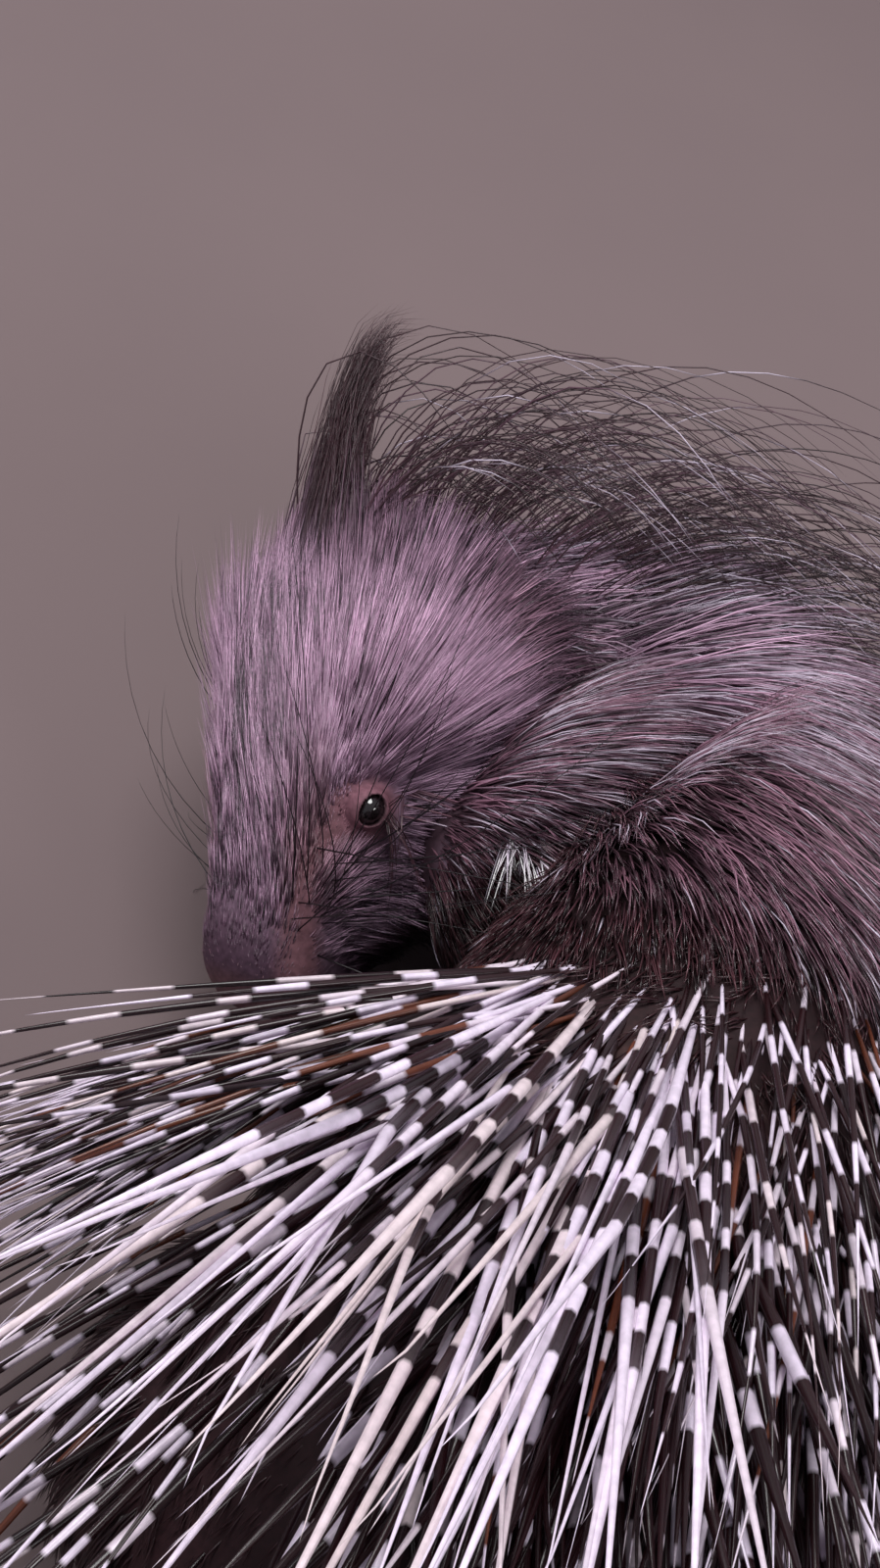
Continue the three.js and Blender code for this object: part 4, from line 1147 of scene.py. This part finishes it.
def body_fur():
    """The short dark coat between and below the quills."""
    def down(root, tip):
        return lambda u, a: (np.sign(a) * root, np.sign(a) * tip)

    def colour(u, a, point, t, vary):
        base = trunk_paint(u, a, point)
        # Darker roots and lighter tips: partly the hair's own colour, partly painted shade deep in the coat
        # and painted sheen.
        return graded(base * 0.6, base * 1.15, t, vary)

    def back(u, a):
        return (1 - smooth(0, 10, trunk_y(u, a) - quill_front(a))) * (1 - smooth(80, 100, np.abs(a)))

    def flanks(u, a):
        side = np.abs(a)
        return (1 - smooth(-180, -170, trunk_y(u, a))) * smooth(72, 88, side) * (1 - smooth(128, 150, side))

    def belly(u, a):
        return smooth(112, 130, np.abs(a))

    fur(
        "back_undercoat", 51, trunk, 1800, 3, back, 22.0, down(20, 25), (18.0, 8.0), 1.2, colour,
        "body_quills", gather=0.1, stray=22.0, steps=2,
    )
    fur(
        "flank_fur", 52, trunk, 1450, 3, flanks, 40.0, down(26, 34), (15.0, 5.0), 1.5, colour, "leg_fur",
        stray=8.0, droop=0.1,
    )
    fur(
        "belly_fur", 53, trunk, 900, 3, belly, 20.0, down(10, 10), (10.0, 4.0), 1.5, colour, "leg_fur",
        steps=2,
    )


# The way that the crest's bristles leave the neck and the way they end, as degrees above the line to the
# right of the picture, for the nape and then for the shoulder
CREST_RISE = (70, -4)
CREST_FALL = (-56, -48)
# The ends of the line on which the white hair of the throat grows
THROAT_TUFT = ((27, -97, 118), (44, -104, 120))


def crest():
    """Long thin bristles of the nape and neck, which stand up, arch over and fall back over the shoulders."""
    rng = np.random.default_rng(61)
    count, steps = 440, 13
    u = rng.random(count) ** 1.3 * 0.8
    along = u / 0.8
    angle = np.minimum(rng.normal(-4, 22, count), mix(-2, 40, smooth(0, 0.35, u)))
    here, _, out, _, _, _ = neck.frame(u, angle)
    outward = out * 0.9 * smooth(-6, -34, angle)[:, None]
    long = mix(190, 118, along) * rng.uniform(0.5, 1.1, count)
    rise, fall = (
        np.radians(mix(*turn, along) + rng.normal(0, 6, count))[:, None] for turn in (CREST_RISE, CREST_FALL)
    )
    start = TO_RIGHT * np.cos(rise) + TO_TOP * np.sin(rise) + TO_VIEW * rng.uniform(0.1, 0.5, (count, 1))
    start = unit(start + outward)
    end = outward * 0.35 + TO_RIGHT * np.cos(fall) + TO_TOP * np.sin(fall)
    end = unit(end + TO_VIEW * rng.uniform(-0.15, 0.15, (count, 1)))
    t = (np.arange(steps) + 0.5)[None, :, None] / steps
    strides = unit(mix(start[:, None], end[:, None], t)) * (long / steps)[:, None, None]
    root = (here - out * 8)[:, None]
    path = np.concatenate([root, root + np.cumsum(strides, axis=1)], axis=1)
    t = np.broadcast_to(np.linspace(0, 1, steps + 1), (count, steps + 1))
    base = mix(BODY_BROWN * 0.7, NECK_BROWN * 0.7, rng.random((count, 1)) ** 2)
    colour = graded(base, base * 0.5, t[0], rng.random(count), spread=1.0)
    for _ in range(2):
        cover = pale_length(rng, t, (0.35, 0.9), (0.06, 0.16), 0.08 + 0.4 * along, (0.03, 0.03, 0.05))
        colour = mix(colour, WHITE * 0.8, cover)
    width = rng.uniform(0.5, 0.85, (count, 1)) * taper(steps + 1)[None]
    normals = np.broadcast_to(TO_VIEW, path.shape)
    bars("crest", path, normals, width, width * 0.7, colour, neck.uv(u, angle), hair_finish, "crest_bristles")


def throat_tuft():
    """White hair that shows between the cheek and the shoulder."""
    rng = np.random.default_rng(71)
    count = 30
    t = rng.random(count)[:, None]
    start = mix(*(np.array(end, float) for end in THROAT_TUFT), t)
    start = start + rng.normal(0, 2.4, (count, 3)) * (1.0, 1.0, 0.3)
    out = np.broadcast_to(unit((-0.1, -0.5, 0.86)), start.shape)
    way = mix(np.array([0.15, -0.9, 0.0]), np.array([0.75, -0.65, 0.0]), t) + rng.normal(0, 0.26, (count, 3))
    long = rng.uniform(14, 38, count)

    def colour(many, t, vary):
        return graded(WHITE * 0.8, WHITE, t, np.where(vary < 0.35, 0.0, 0.5 + 0.5 * vary), spread=1.4)

    skin_strands(
        "throat_tuft", rng, start, out, (way, way), (1.6, 0.9, 0.2, -0.2), long, 2, 0.9, np.full(count, 0.6),
        colour, "crest_bristles",
    )


# Quills. Each place of the back: y, angle, then the quills' bearing to the left of straight back,
# height above level, length and thickness
QUILL_LIE = [
    (-185, 78, 54, -8, 160, 3.2),
    (-190, 42, 48, 8, 210, 3.4),
    (-210, 28, 36, 10, 215, 3.6),
    (-185, 13, -4, 24, 215, 3.4),
    (-175, 0, -14, 24, 185, 3.0),
    (-160, -15, -20, 24, 170, 2.8),
    (-155, -42, -36, 16, 160, 2.8),
    (-175, -78, -54, -8, 145, 3.0),
    (-240, 70, 44, -12, 175, 3.6),
    (-250, 40, 29, 6, 215, 4.0),
    (-240, 15, -6, 22, 190, 4.4),
    (-240, 0, -12, 22, 155, 4.8),
    (-240, -32, -24, 18, 165, 4.0),
    (-250, -72, -42, -6, 160, 3.6),
    (-300, 72, 30, -14, 165, 3.8),
    (-300, 36, 14, 4, 190, 4.4),
    (-300, 0, -8, 18, 130, 5.4),
    (-300, -36, -20, 10, 150, 4.8),
    (-300, -72, -34, -8, 155, 3.8),
    (-370, 60, 22, -6, 115, 4.4),
    (-370, 0, -3, 10, 100, 5.8),
    (-370, -60, -24, -4, 115, 4.4),
]
QUILL_FIRST, QUILL_REAR = -132, -394
QUILL_SPACING = 8.4
# How much the quills bend down towards the tip, by thickness
QUILL_SAG = ((3.2, 4.6), (0.42, 0.08))
# The longest quills start along the front of the left back and fall across the others
LONG_QUILLS = {"y": (-214, -181), "angles": (4, 52), "count": 52, "bearings": (-3, 19)}
LONG_QUILL_SIZE = {"height": 27.0, "long": 285.0, "thick": 3.3}
# The sheaf at the front of the left side, which runs out past the muzzle
SHEAF = {"y": (-186, -164), "angles": (34, 74), "count": 90}
# How the quill swells and where it starts to narrow, as parts of its length, and the sides of its section
QUILL_FORM = {"stout": (0.4, 0.6, 7), "long": (0.25, 0.6, 7), "banded": (0.25, 0.4, 5)}
# The bands from the tip: length in millimetres, and how much it varies
QUILL_BANDS = {
    "stout": [(6, 0.5), (62, 0.3), (14, 0.3), (48, 0.3)],
    "long": [(140, 0.14), (16, 0.3), (10, 0.3), (20, 0.3), (12, 0.3), (24, 0.3)],
    "banded": [(38, 0.45)] + [(size, 0.35) for size in (20, 13, 22, 13, 22, 13, 24)],
}


def quill_lie(y, angle):
    """Bearing, height, length and thickness of the quill at each place."""
    table = np.array(QUILL_LIE, float)
    far = (y[:, None] - table[None, :, 0]) ** 2 + ((angle[:, None] - table[None, :, 1]) * 1.6) ** 2
    weight = 1 / (far + 120) ** 1.6
    return ((weight @ table[:, 2:]) / weight.sum(1, keepdims=True)).T


def quill_front(angle):
    """Where the quills begin: further forward on the right of the back, which the bent neck stretches."""
    return mix(mix(-132, -172, smooth(-16, 45, angle)), -160, smooth(-30, -80, angle))


def quill_places(rng):
    """Jittered rows over the back and both sides."""
    us, angles = [], []
    fine = np.linspace(-90, 90, 181)
    for row, y in enumerate(np.arange(QUILL_FIRST, QUILL_REAR, -QUILL_SPACING * 0.9)):
        ring = trunk.point(np.full(len(fine), trunk_u(y)), fine)
        walk = np.concatenate([[0], np.cumsum(np.linalg.norm(np.diff(ring, axis=0), axis=1))])
        places = np.arange((row % 2) * 0.5, walk[-1] / QUILL_SPACING) * QUILL_SPACING
        angle = np.interp(places + rng.normal(0, 1.6, len(places)), walk, fine)
        shifted = y + rng.normal(0, 1.8, len(places))
        thin = 0.12 + 0.72 * smooth(10, 30, angle) * smooth(-198, -225, shifted)
        keep = (shifted < quill_front(angle)) & (rng.random(len(angle)) > thin)
        us.append(trunk_u(shifted[keep]))
        angles.append(angle[keep])
    return np.concatenate(us), np.concatenate(angles)


def quill_shape(t, swell, end):
    """Thickness along a quill, from its root to its point."""
    return mix(0.6, 1.0, smooth(0.0, swell, t)) * (1 - 0.93 * smooth(end, 1.02, t))


def quill_paths(here, start, end, long, t):
    """Each quill leaves one way and turns towards another."""
    turn = (end - start) * 0.5
    run = start[:, None] * t[..., None] + turn[:, None] * (t**2)[..., None]
    return here[:, None] + run * long[:, None, None]


def quill_bands(rng, kind, long):
    """For each quill, where its colours change and the colours between, from its root to its tip."""
    count = len(long)
    chestnut = (rng.random(count) < (0.09 if kind == "banded" else 0))[:, None]
    dark = np.where(chestnut, QUILL_CHESTNUT, QUILL_DARK) * rng.uniform(0.6, 1.3, (count, 1))
    pale = mix(WHITE, CREAM, (rng.random(count) ** 4)[:, None] * 0.6) * rng.uniform(0.9, 1.08, (count, 1))
    bands = QUILL_BANDS[kind]
    shades = [(pale, dark)[k % 2] for k in range(len(bands) + 1)]
    if kind == "stout":
        shades = [mix(dark, pale, 0.3), dark, pale, dark, pale * 0.9]
    lengths = np.stack([size * (1 + rng.uniform(-vary, vary, count)) for size, vary in bands], 1)
    edges = 1 - np.cumsum(lengths, axis=1) / long[:, None]
    return edges.T[::-1], shades[::-1]


def quill_group(rng, group):
    """Random places of quills within a group's range."""
    return trunk_u(rng.uniform(*group["y"], group["count"])), rng.uniform(*group["angles"], group["count"])


def quill_stations(edges, blur):
    """Places along each quill, from 0 to 1: its root, both sides of every change of colour, and its tip."""
    count = len(blur)
    marks = [np.zeros(count), np.full(count, 0.04)]
    for edge in edges:
        marks += [edge - blur, edge + blur]
    marks += [np.full(count, 0.93), np.full(count, 0.975), np.ones(count)]
    t = np.sort(np.clip(np.stack(marks, 1), 0, 1), axis=1)
    t = np.maximum.accumulate(t + np.arange(t.shape[1]) * 2e-4, axis=1)
    return t / t[:, -1:]


def quill_piece(name, rng, u, angle, kind):
    """Quills of one kind, each leaving the skin one way and sagging towards another."""
    y = trunk.point(u, angle)[:, 1]
    bearing, height, long, thick = quill_lie(y, angle)
    count = len(u)
    sag = np.interp(thick, *QUILL_SAG)
    if kind == "stout":
        long, height, thick, sag = np.minimum(long * 0.85, 165), height * 0.8, thick * 0.8, sag * 0.5
    elif kind == "long":
        first, last = LONG_QUILLS["angles"]
        bearing = mix(*LONG_QUILLS["bearings"], (angle - first) / (last - first))
        height, long, thick = (np.full(count, size) for size in LONG_QUILL_SIZE.values())
        sag = np.full(count, 0.12)
    else:
        flank = smooth(25, 55, angle)
        long, thick = np.minimum(long, 225), thick * 0.7
        height, sag = height - 9 * flank * smooth(-215, -190, y), sag + 0.28 * flank
    long = long * rng.uniform(0.74, 1.12, count)
    thick = thick * rng.uniform(0.7, 1.25, count)
    stray = 0.6 if kind == "long" else mix(1.0, 0.5, smooth(25, 50, angle))
    bearing = np.radians(bearing + np.clip(rng.normal(0, 11, count), -20, 20) * stray)
    height = np.radians(height + np.clip(rng.normal(0, 7, count), -10, 8) * stray)
    level = np.cos(height)
    start = np.stack([-np.sin(bearing) * level, -np.cos(bearing) * level, np.sin(height)], -1)
    here, _, out, _, _, _ = trunk.frame(u, angle)
    start = unit(start + out * np.maximum(0.14 - np.sum(start * out, -1), 0)[:, None])
    sag = ((sag + 0.05) * rng.uniform(0.4, 1.7, count))[:, None]
    end = unit(start - UP * sag + rng.normal(0, 0.12, (count, 3)))
    edges, shades = quill_bands(rng, kind, long)
    blur = 0.8 / long
    t = quill_stations(edges, blur)
    path = quill_paths(here - out * 9 - start * 4, start, end, long + 10, t)
    colour = np.broadcast_to(shades[0][:, None], (*t.shape, 3))
    for edge, after in zip(edges, shades[1:]):
        cover = smooth(0, 1, (t - edge[:, None]) / (2 * blur[:, None]) + 0.5)[..., None]
        colour = mix(colour, after[:, None], cover)
    swell, narrow, sides = QUILL_FORM[kind]
    width = thick[:, None] * quill_shape(t[:, :-1], swell, narrow)
    normals = np.broadcast_to(out[:, None], path.shape)
    bars(
        name, path, normals, width, width, colour, trunk.uv(u, angle), quill_finish, "body_quills",
        sides=sides, patch=(0.003, 0.05),
    )


def quills():
    rng = np.random.default_rng(81)
    u, angle = quill_places(rng)
    stout_share = 0.88 * smooth(-186, -216, trunk_y(u, angle)) * (1 - smooth(22, 50, np.abs(angle + 2)))
    stout = rng.random(len(u)) < stout_share
    quill_piece("quills_stout", rng, u[stout], angle[stout], "stout")
    sheaf_u, sheaf_angle = quill_group(rng, SHEAF)
    left, right = ~stout & (angle >= 0), ~stout & (angle < 0)
    left_u, left_angle = np.concatenate([u[left], sheaf_u]), np.concatenate([angle[left], sheaf_angle])
    quill_piece("quills_banded_left", rng, left_u, left_angle, "banded")
    quill_piece("quills_banded_right", rng, u[right], angle[right], "banded")
    quill_piece("quills_white_tipped", rng, *quill_group(rng, LONG_QUILLS), "long")


def tail_quills():
    rng = np.random.default_rng(91)
    count = 130
    u = rng.uniform(0.15, 0.98, count)
    angle = rng.uniform(-115, 115, count)
    here, rear, out, _, _, _ = tail.frame(u, angle)
    long = rng.uniform(40, 78, count)
    start = unit(rear + out * rng.uniform(0.15, 0.55, (count, 1)))
    t = np.broadcast_to(np.array([0, 0.05, 0.3, 0.6, 0.8, 0.93, 1.0]), (count, 7))
    path = quill_paths(here - out * 7, start, unit(start - UP * 0.15), long, t)
    pale = mix(WHITE, CREAM, rng.random((count, 1)))[:, None]
    stain = mix(CREAM * 0.7, QUILL_CHESTNUT, 0.4)
    colour = mix(pale, stain, (rng.random((count, 1, 1)) < 0.3) * 0.6 * t[..., None])
    width = rng.uniform(3.4, 5.4, (count, 1)) * quill_shape(t[:, :-1], 0.3, 0.7)
    normals = np.broadcast_to(out[:, None], path.shape)
    uv = tail.uv(u, angle)
    bars("rattle_quills", path, normals, width, width, colour, uv, quill_finish, "rattle_quills", sides=7)


def whiskers():
    """Long dark hairs that fan back from the muzzle over the face, and a few over each eye."""
    rng = np.random.default_rng(95)
    steps, rows = 9, []
    for side, many in ((1, 22), (-1, 8)):
        for k in range(many):
            u, angle = head_u(rng.uniform(22, 54)), side * rng.uniform(42, 74)
            long = rng.uniform(80, 160) * (1 if side > 0 else 0.6)
            rows.append((u, angle, long, side * (mix(-52, 76, k / (many - 1)) + rng.uniform(-6, 6))))
        for _ in range(6):
            u, angle = head_u(rng.uniform(78, 90)), side * rng.uniform(38, 50)
            rows.append((u, angle, rng.uniform(50, 85), side * rng.uniform(-26, 0)))
    u, angle, long, sweeps = np.array(rows, float).T
    count = len(u)
    pitch = (rng.uniform(38, 60, count), rng.uniform(0, 16, count))
    path, normals = lie(head, u, angle, long, (sweeps, sweeps * 1.15), pitch, follow=0.0, steps=steps)
    width = np.where(angle > 0, 0.55, 0.38)[:, None] * rng.uniform(0.8, 1.15, (count, 1))
    width = width * (1 - np.linspace(0, 1, steps + 1)[None, :-1] * 0.7)
    colour = np.broadcast_to(WHISKER, (count, steps + 1, 3))
    bars("whiskers", path, normals, width, width, colour, head.uv(u, angle), hair_finish, "head_fur", sides=4)


def skin_triangles(skin):
    """The skin's triangles as corners, middles, outward normals and areas."""
    mesh = skin.data
    mesh.calc_loop_triangles()
    corners = np.empty(len(mesh.loop_triangles) * 3, np.int32)
    mesh.loop_triangles.foreach_get("vertices", corners)
    tri = from_row(read_vertices(mesh))[corners.reshape(-1, 3)]
    cross = np.cross(tri[:, 1] - tri[:, 0], tri[:, 2] - tri[:, 0])
    return tri, tri.mean(1), unit(cross), np.linalg.norm(cross, axis=1) / 2


def skin_places(rng, tri, out, weight, count):
    """Random places on the skin, as dense as the weight of each triangle."""
    pick = rng.choice(len(tri), count, p=weight / weight.sum())
    a, b = rng.random(count), rng.random(count)
    flip = a + b > 1
    a, b = (np.where(flip, 1 - v, v)[:, None] for v in (a, b))
    corner, second, third = np.moveaxis(tri[pick], 1, 0)
    return corner + (second - corner) * a + (third - corner) * b, out[pick]


def skin_strands(name, rng, start, out, ways, lifts, long, each, spread, wide, colour_of, slot, droop=0.1):
    """Tufts set on the skin itself. ways are the directions at the root and at the tip, lifts how far the
    hair rises off the skin for each part of its length."""
    steps = len(lifts)
    place = start - out * ROOT_DEPTH
    path = [place]
    for k, lift in enumerate(lifts):
        way = mix(*ways, (k + 0.5) / steps)
        way = unit(way - out * np.sum(way * out, -1, keepdims=True))
        place = place + unit(way + out * lift - UP * droop) * (long / steps)[:, None]
        path.append(place)
    path = np.stack(path, 1)
    path, normals = spread_out(rng, path, np.broadcast_to(out[:, None], path.shape), each, spread, 0.4)
    many = np.repeat(np.arange(len(start)), each)
    size, vary = strand_values(rng, many, wide)
    width = size[:, None] * taper(steps + 1)[None]
    colour = colour_of(many, np.linspace(0, 1, steps + 1), vary)
    uv = np.stack([0.7 + (start[:, 0] + 120) / 1600, 0.75 + (start[:, 1] + 420) / 1800], -1)[many]
    bars(name, path, normals, width, width * 0.5, colour, uv, hair_finish, slot)


def leg_fur(skin):
    """Short hair on the limbs, set on the skin itself and lying down towards the toes."""
    rng = np.random.default_rng(97)
    tri, middle, out, area = skin_triangles(skin)
    chosen = np.zeros(len(tri))
    for side, limb, foot in limbs_and_feet():
        for off, y, z, radii in limb:
            x = beside_trunk(off, limb[0][1], side)
            far = np.linalg.norm((middle - np.array([x, y, z])) / (np.array(radii) * 1.08), axis=1)
            chosen = np.maximum(chosen, far < 1.0)
        off, y, long, wide, high, _ = foot
        x = beside_trunk(off, y, side)
        far = np.maximum(np.abs(middle[:, 0] - x) / (wide * 0.6), np.abs(middle[:, 1] - y) / (long * 0.62))
        chosen = np.maximum(chosen, 0.6 * (far < 1.0) * (middle[:, 2] < high))
    start, out = skin_places(rng, tri, out, area * chosen * (middle[:, 2] > 3), 2200)
    foot = 1 - smooth(12, 30, start[:, 2])
    down = np.where(foot[:, None] > 0.5, np.array([0.0, 1.0, -0.3]), np.array([0.0, -0.35, -1.0]))
    down = down + rng.normal(0, 0.12, down.shape)
    base = mix(BODY_BROWN * 0.8, FOOT, foot[:, None])
    long = mix(26, 7, foot) * rng.uniform(0.75, 1.2, len(foot))

    def colour(many, t, vary):
        # Darker roots and lighter tips: partly the hair's own colour, partly painted shade deep in the coat
        # and painted sheen.
        return graded(base[many] * 0.7, base[many] * 1.1, t, vary)

    skin_strands(
        "leg_fur", rng, start, out, (down, down), (0.3, 0.1), long, 3, 1.2, mix(1.6, 0.9, foot), colour,
        "leg_fur",
    )


# How far the fold's hair falls below the line to the picture's right: by x, in degrees
FOLD_FALL = ((0, 30, 50, 82), (-4, 8, 24, 44))


def fold_fur(skin):
    """Bristles on the fold of the throat, which run out from under the cheek and turn down the shoulder."""
    rng = np.random.default_rng(98)
    tri, middle, out, area = skin_triangles(skin)
    fold_middle, radii = (np.array(v) for v in NECK_FOLD)
    far = np.linalg.norm((middle - fold_middle) / (radii - neck.under), axis=1)
    reach = 1.06 + 0.2 * (middle[:, 2] > 104) + 0.16 * (middle[:, 0] < 14)
    chosen = (far < reach) * smooth(30, 50, middle[:, 2]) * (out[:, 2] > -0.3) * (middle[:, 0] > -12)
    start, out = skin_places(rng, tri, out, area * chosen, 2500)
    low = smooth(-70, -116, start[:, 1])
    fall = np.interp(start[:, 0], *FOLD_FALL) + 26 * low
    fall = np.radians(fall + rng.normal(0, 6, len(start)))[:, None]
    ways = tuple(TO_RIGHT * np.cos(turn) - TO_TOP * np.sin(turn) for turn in (fall, fall + 0.2))
    by_tuft = np.exp(-(((start[:, 0] - 26) / 16) ** 2) - ((start[:, 1] + 98) / 14) ** 2)
    long = mix(58, 30, low) * rng.uniform(0.75, 1.2, len(start)) * (1 - 0.6 * by_tuft)
    reddish = mix(NECK_BROWN, BODY_BROWN, smooth(-84, -108, start[:, 1])[:, None])

    def colour(many, t, vary):
        share = 0.35 * smooth(-108, -84, start[many, 1]) + 0.03
        return bristle_colours(33, vary, reddish[many], share, len(t))

    skin_strands(
        "throat_fur", rng, start, out, ways, (0.34, 0.16, 0.02), long, 3, 1.6, np.ones(len(start)), colour,
        "crest_bristles", droop=0.06,
    )


def claws():
    for part, foot in (("fore", FORE_FOOT), ("hind", HIND_FOOT)):
        for side, word in ((1, "right"), (-1, "left")):
            paths, widths = [], []
            for root, ahead, radius in toes_of(foot, side):
                base = root + ahead * TOE_LENGTH * 0.3
                tip = root + ahead * (TOE_LENGTH * 0.3 + CLAW_LENGTH)
                tip[2] = 0.8
                knee = (base + tip) / 2 + UP * radius * 0.95
                t = np.linspace(0, 1, 9)[:, None]
                paths.append((1 - t) ** 2 * base + 2 * t * (1 - t) * knee + t**2 * tip)
                widths.append(radius * 1.15 * (1 - 0.72 * t[:-1, 0] ** 1.4))
            path, width = np.array(paths), np.array(widths)
            normals = np.broadcast_to(UP, path.shape)
            colour = np.ones((*path.shape[:2], 3))
            uv = np.stack([np.linspace(0.1, 0.9, len(path)), np.full(len(path), 0.4)], -1)
            bars(
                f"claws_{part}_{word}", path, normals, width, width * 1.15, colour, uv, claw_finish,
                "foot_skin", sides=9, patch=(0.08, 0.3),
            )


def eye(side, word):
    """A ball with a slightly fuller cornea."""
    middle = eye_middle(side)
    _, rear, out, round_ = on_head(EYE_BEHIND_NOSE, side * EYE_ANGLE)
    points, faces = ball(middle, np.array([EYE_RADIUS] * 3), [rear, round_, out], 30, 48)
    d = points - middle
    forward = d @ out / EYE_RADIUS
    points = points + out * (0.5 * smooth(0.72, 1.0, forward))[:, None]
    quads = [f for f in faces if len(f) == 4]
    tris = [f for f in faces if len(f) == 3]
    obj = mesh_object(f"eyeball_{word}", to_row(points), [quads, tris], eye_finish)
    finished(obj, "eye_gloss", f"eye_{word}")


def ear(side, word):
    """A short rounded cup with a rolled rim and a fold inside it."""
    here, rear, out, round_ = on_head(EAR_BEHIND_NOSE, side * EAR_ANGLE)
    tall = unit(rear * 0.75 + out * 0.66)
    wide = round_ * side
    face = unit(np.cross(wide, tall))
    if face @ out < 0:
        face = -face
    base = here + tall * 8 - out * 3.0
    rings, sides = 22, 56
    s = np.linspace(0, 1, rings)[:, None]
    a = np.linspace(0, 2 * math.pi, sides, endpoint=False)[None, :]
    up, across = np.cos(a), np.sin(a)
    high = np.where(up > 0, 13.5, 14.0) * s * up
    broad = 11.5 * s * across * (1 - 0.22 * np.maximum(-up, 0))
    deep = -7.5 * (1 - s**2.2) + 1.6 * smooth(0.86, 1.0, s) * (0.5 + 0.5 * up)
    fold = 1.5 * np.exp(-(((s - 0.62) / 0.1) ** 2)) * smooth(-0.2, 0.6, up)
    points = base + tall * high[..., None] + wide * broad[..., None] + face * (deep + fold)[..., None]
    points = points.reshape(-1, 3)
    points[:sides] = points[:sides].mean(0)
    quads, tris = tube_quads(rings, sides)[sides:], fan(0, sides, sides)[:, [0, 2, 1]]
    obj = mesh_object(f"ear_cup_{word}", to_row(points), [quads, tris], ear_finish)
    thick = obj.modifiers.new("thickness", "SOLIDIFY")
    thick.thickness = 0.0014
    thick.offset = 0
    rim = smooth(0.8, 1.0, np.repeat(s[:, 0], sides))[:, None]
    paint(obj.data, mix(EAR * 0.5, EAR * 0.7, rim))
    unwrap(obj.data, np.stack([0.5 + points[:, 0] * 0.004, 0.5 + points[:, 2] * 0.004], -1))
    finished(obj, "ear_skin", f"ear_{word}")


def stage_floor():
    reach = 6.0
    corners = [(-reach, -reach, 0), (reach, -reach, 0), (reach, reach, 0), (-reach, reach, 0)]
    mesh = bpy.data.meshes.new("floor")
    mesh.from_pydata(corners, [], [(0, 1, 2, 3)])
    mesh.materials.append(floor_material())
    linked("floor", mesh)


def lamp(name, place, aim, size, power, colour=(1, 1, 1)):
    light = bpy.data.lights.new(name, "AREA")
    light.shape = "DISK"
    light.size = size
    light.energy = power
    light.color = colour
    obj = linked(name, light)
    obj.location = Vector(to_row(place))
    obj.rotation_mode = "QUATERNION"
    obj.rotation_quaternion = (Vector(to_row(aim)) - obj.location).to_track_quat("-Z", "Y")


def lights():
    middle = (60, -180, 100)
    lamp("soft_top", (-500, 300, 1700), middle, 1.0, 22)
    lamp("key_left", (-1300, -500, 1300), middle, 0.7, 9)
    lamp("fill_right", (1300, -700, 1200), middle, 0.8, 14)
    world = bpy.data.worlds.new("studio")
    world.use_nodes = True
    background = world.node_tree.nodes["Background"]
    background.inputs["Color"].default_value = (0.93, 0.9, 1.0, 1)
    background.inputs["Strength"].default_value = 0.32
    bpy.context.scene.world = world
    bpy.context.scene.view_settings.view_transform = "Standard"


# The camera looks down from behind the rump, rolled to the photograph's tilt
CAMERA_ELEVATION = 52
CAMERA_AWAY = 1180.0
CAMERA_ROLL = 27.8
PHOTO_HEIGHT = 1600
FOCAL_PIXELS = 3200


def camera():
    data = bpy.data.cameras.new("camera")
    data.sensor_width = 36
    data.lens = 36 * FOCAL_PIXELS / PHOTO_HEIGHT
    data.clip_end = 50
    obj = linked("camera", data)
    e, r = math.radians(CAMERA_ELEVATION), math.radians(CAMERA_ROLL)
    level = Vector((1, 0, 0))
    top = Vector((0, math.sin(e), math.cos(e)))
    right = level * math.cos(r) + top * math.sin(r)
    up = top * math.cos(r) - level * math.sin(r)
    back = right.cross(up)
    turn = Matrix((right, up, back)).transposed().to_4x4()
    away = (0, -CAMERA_AWAY * math.cos(e), CAMERA_AWAY * math.sin(e))
    place = Matrix.Translation(Vector(to_row(away)))
    obj.matrix_world = place @ turn
    bpy.context.scene.camera = obj


eye_finish = eye_material()
claw_finish = claw_material()

camera()
lights()
stage_floor()
skin, skin_points = make_skin()
paint(skin.data, skin_colours(skin_points))
limbs = [f"{end}_{what}" for end in ("fore", "hind") for what in ("leg", "foot")]
limbs = [f"{limb}_{side}" for limb in limbs for side in ("left", "right")]
finished(skin, "leg_fur", "head", "neck", "torso", "tail", *limbs)
for side, word in ((1, "left"), (-1, "right")):
    eye(side, word)
    ear(side, word)
claws()
head_fur()
crown_tuft()
neck_fur()
crest()
fold_fur(skin)
throat_tuft()
shoulder_fur()
body_fur()
leg_fur(skin)
quills()
tail_quills()
whiskers()
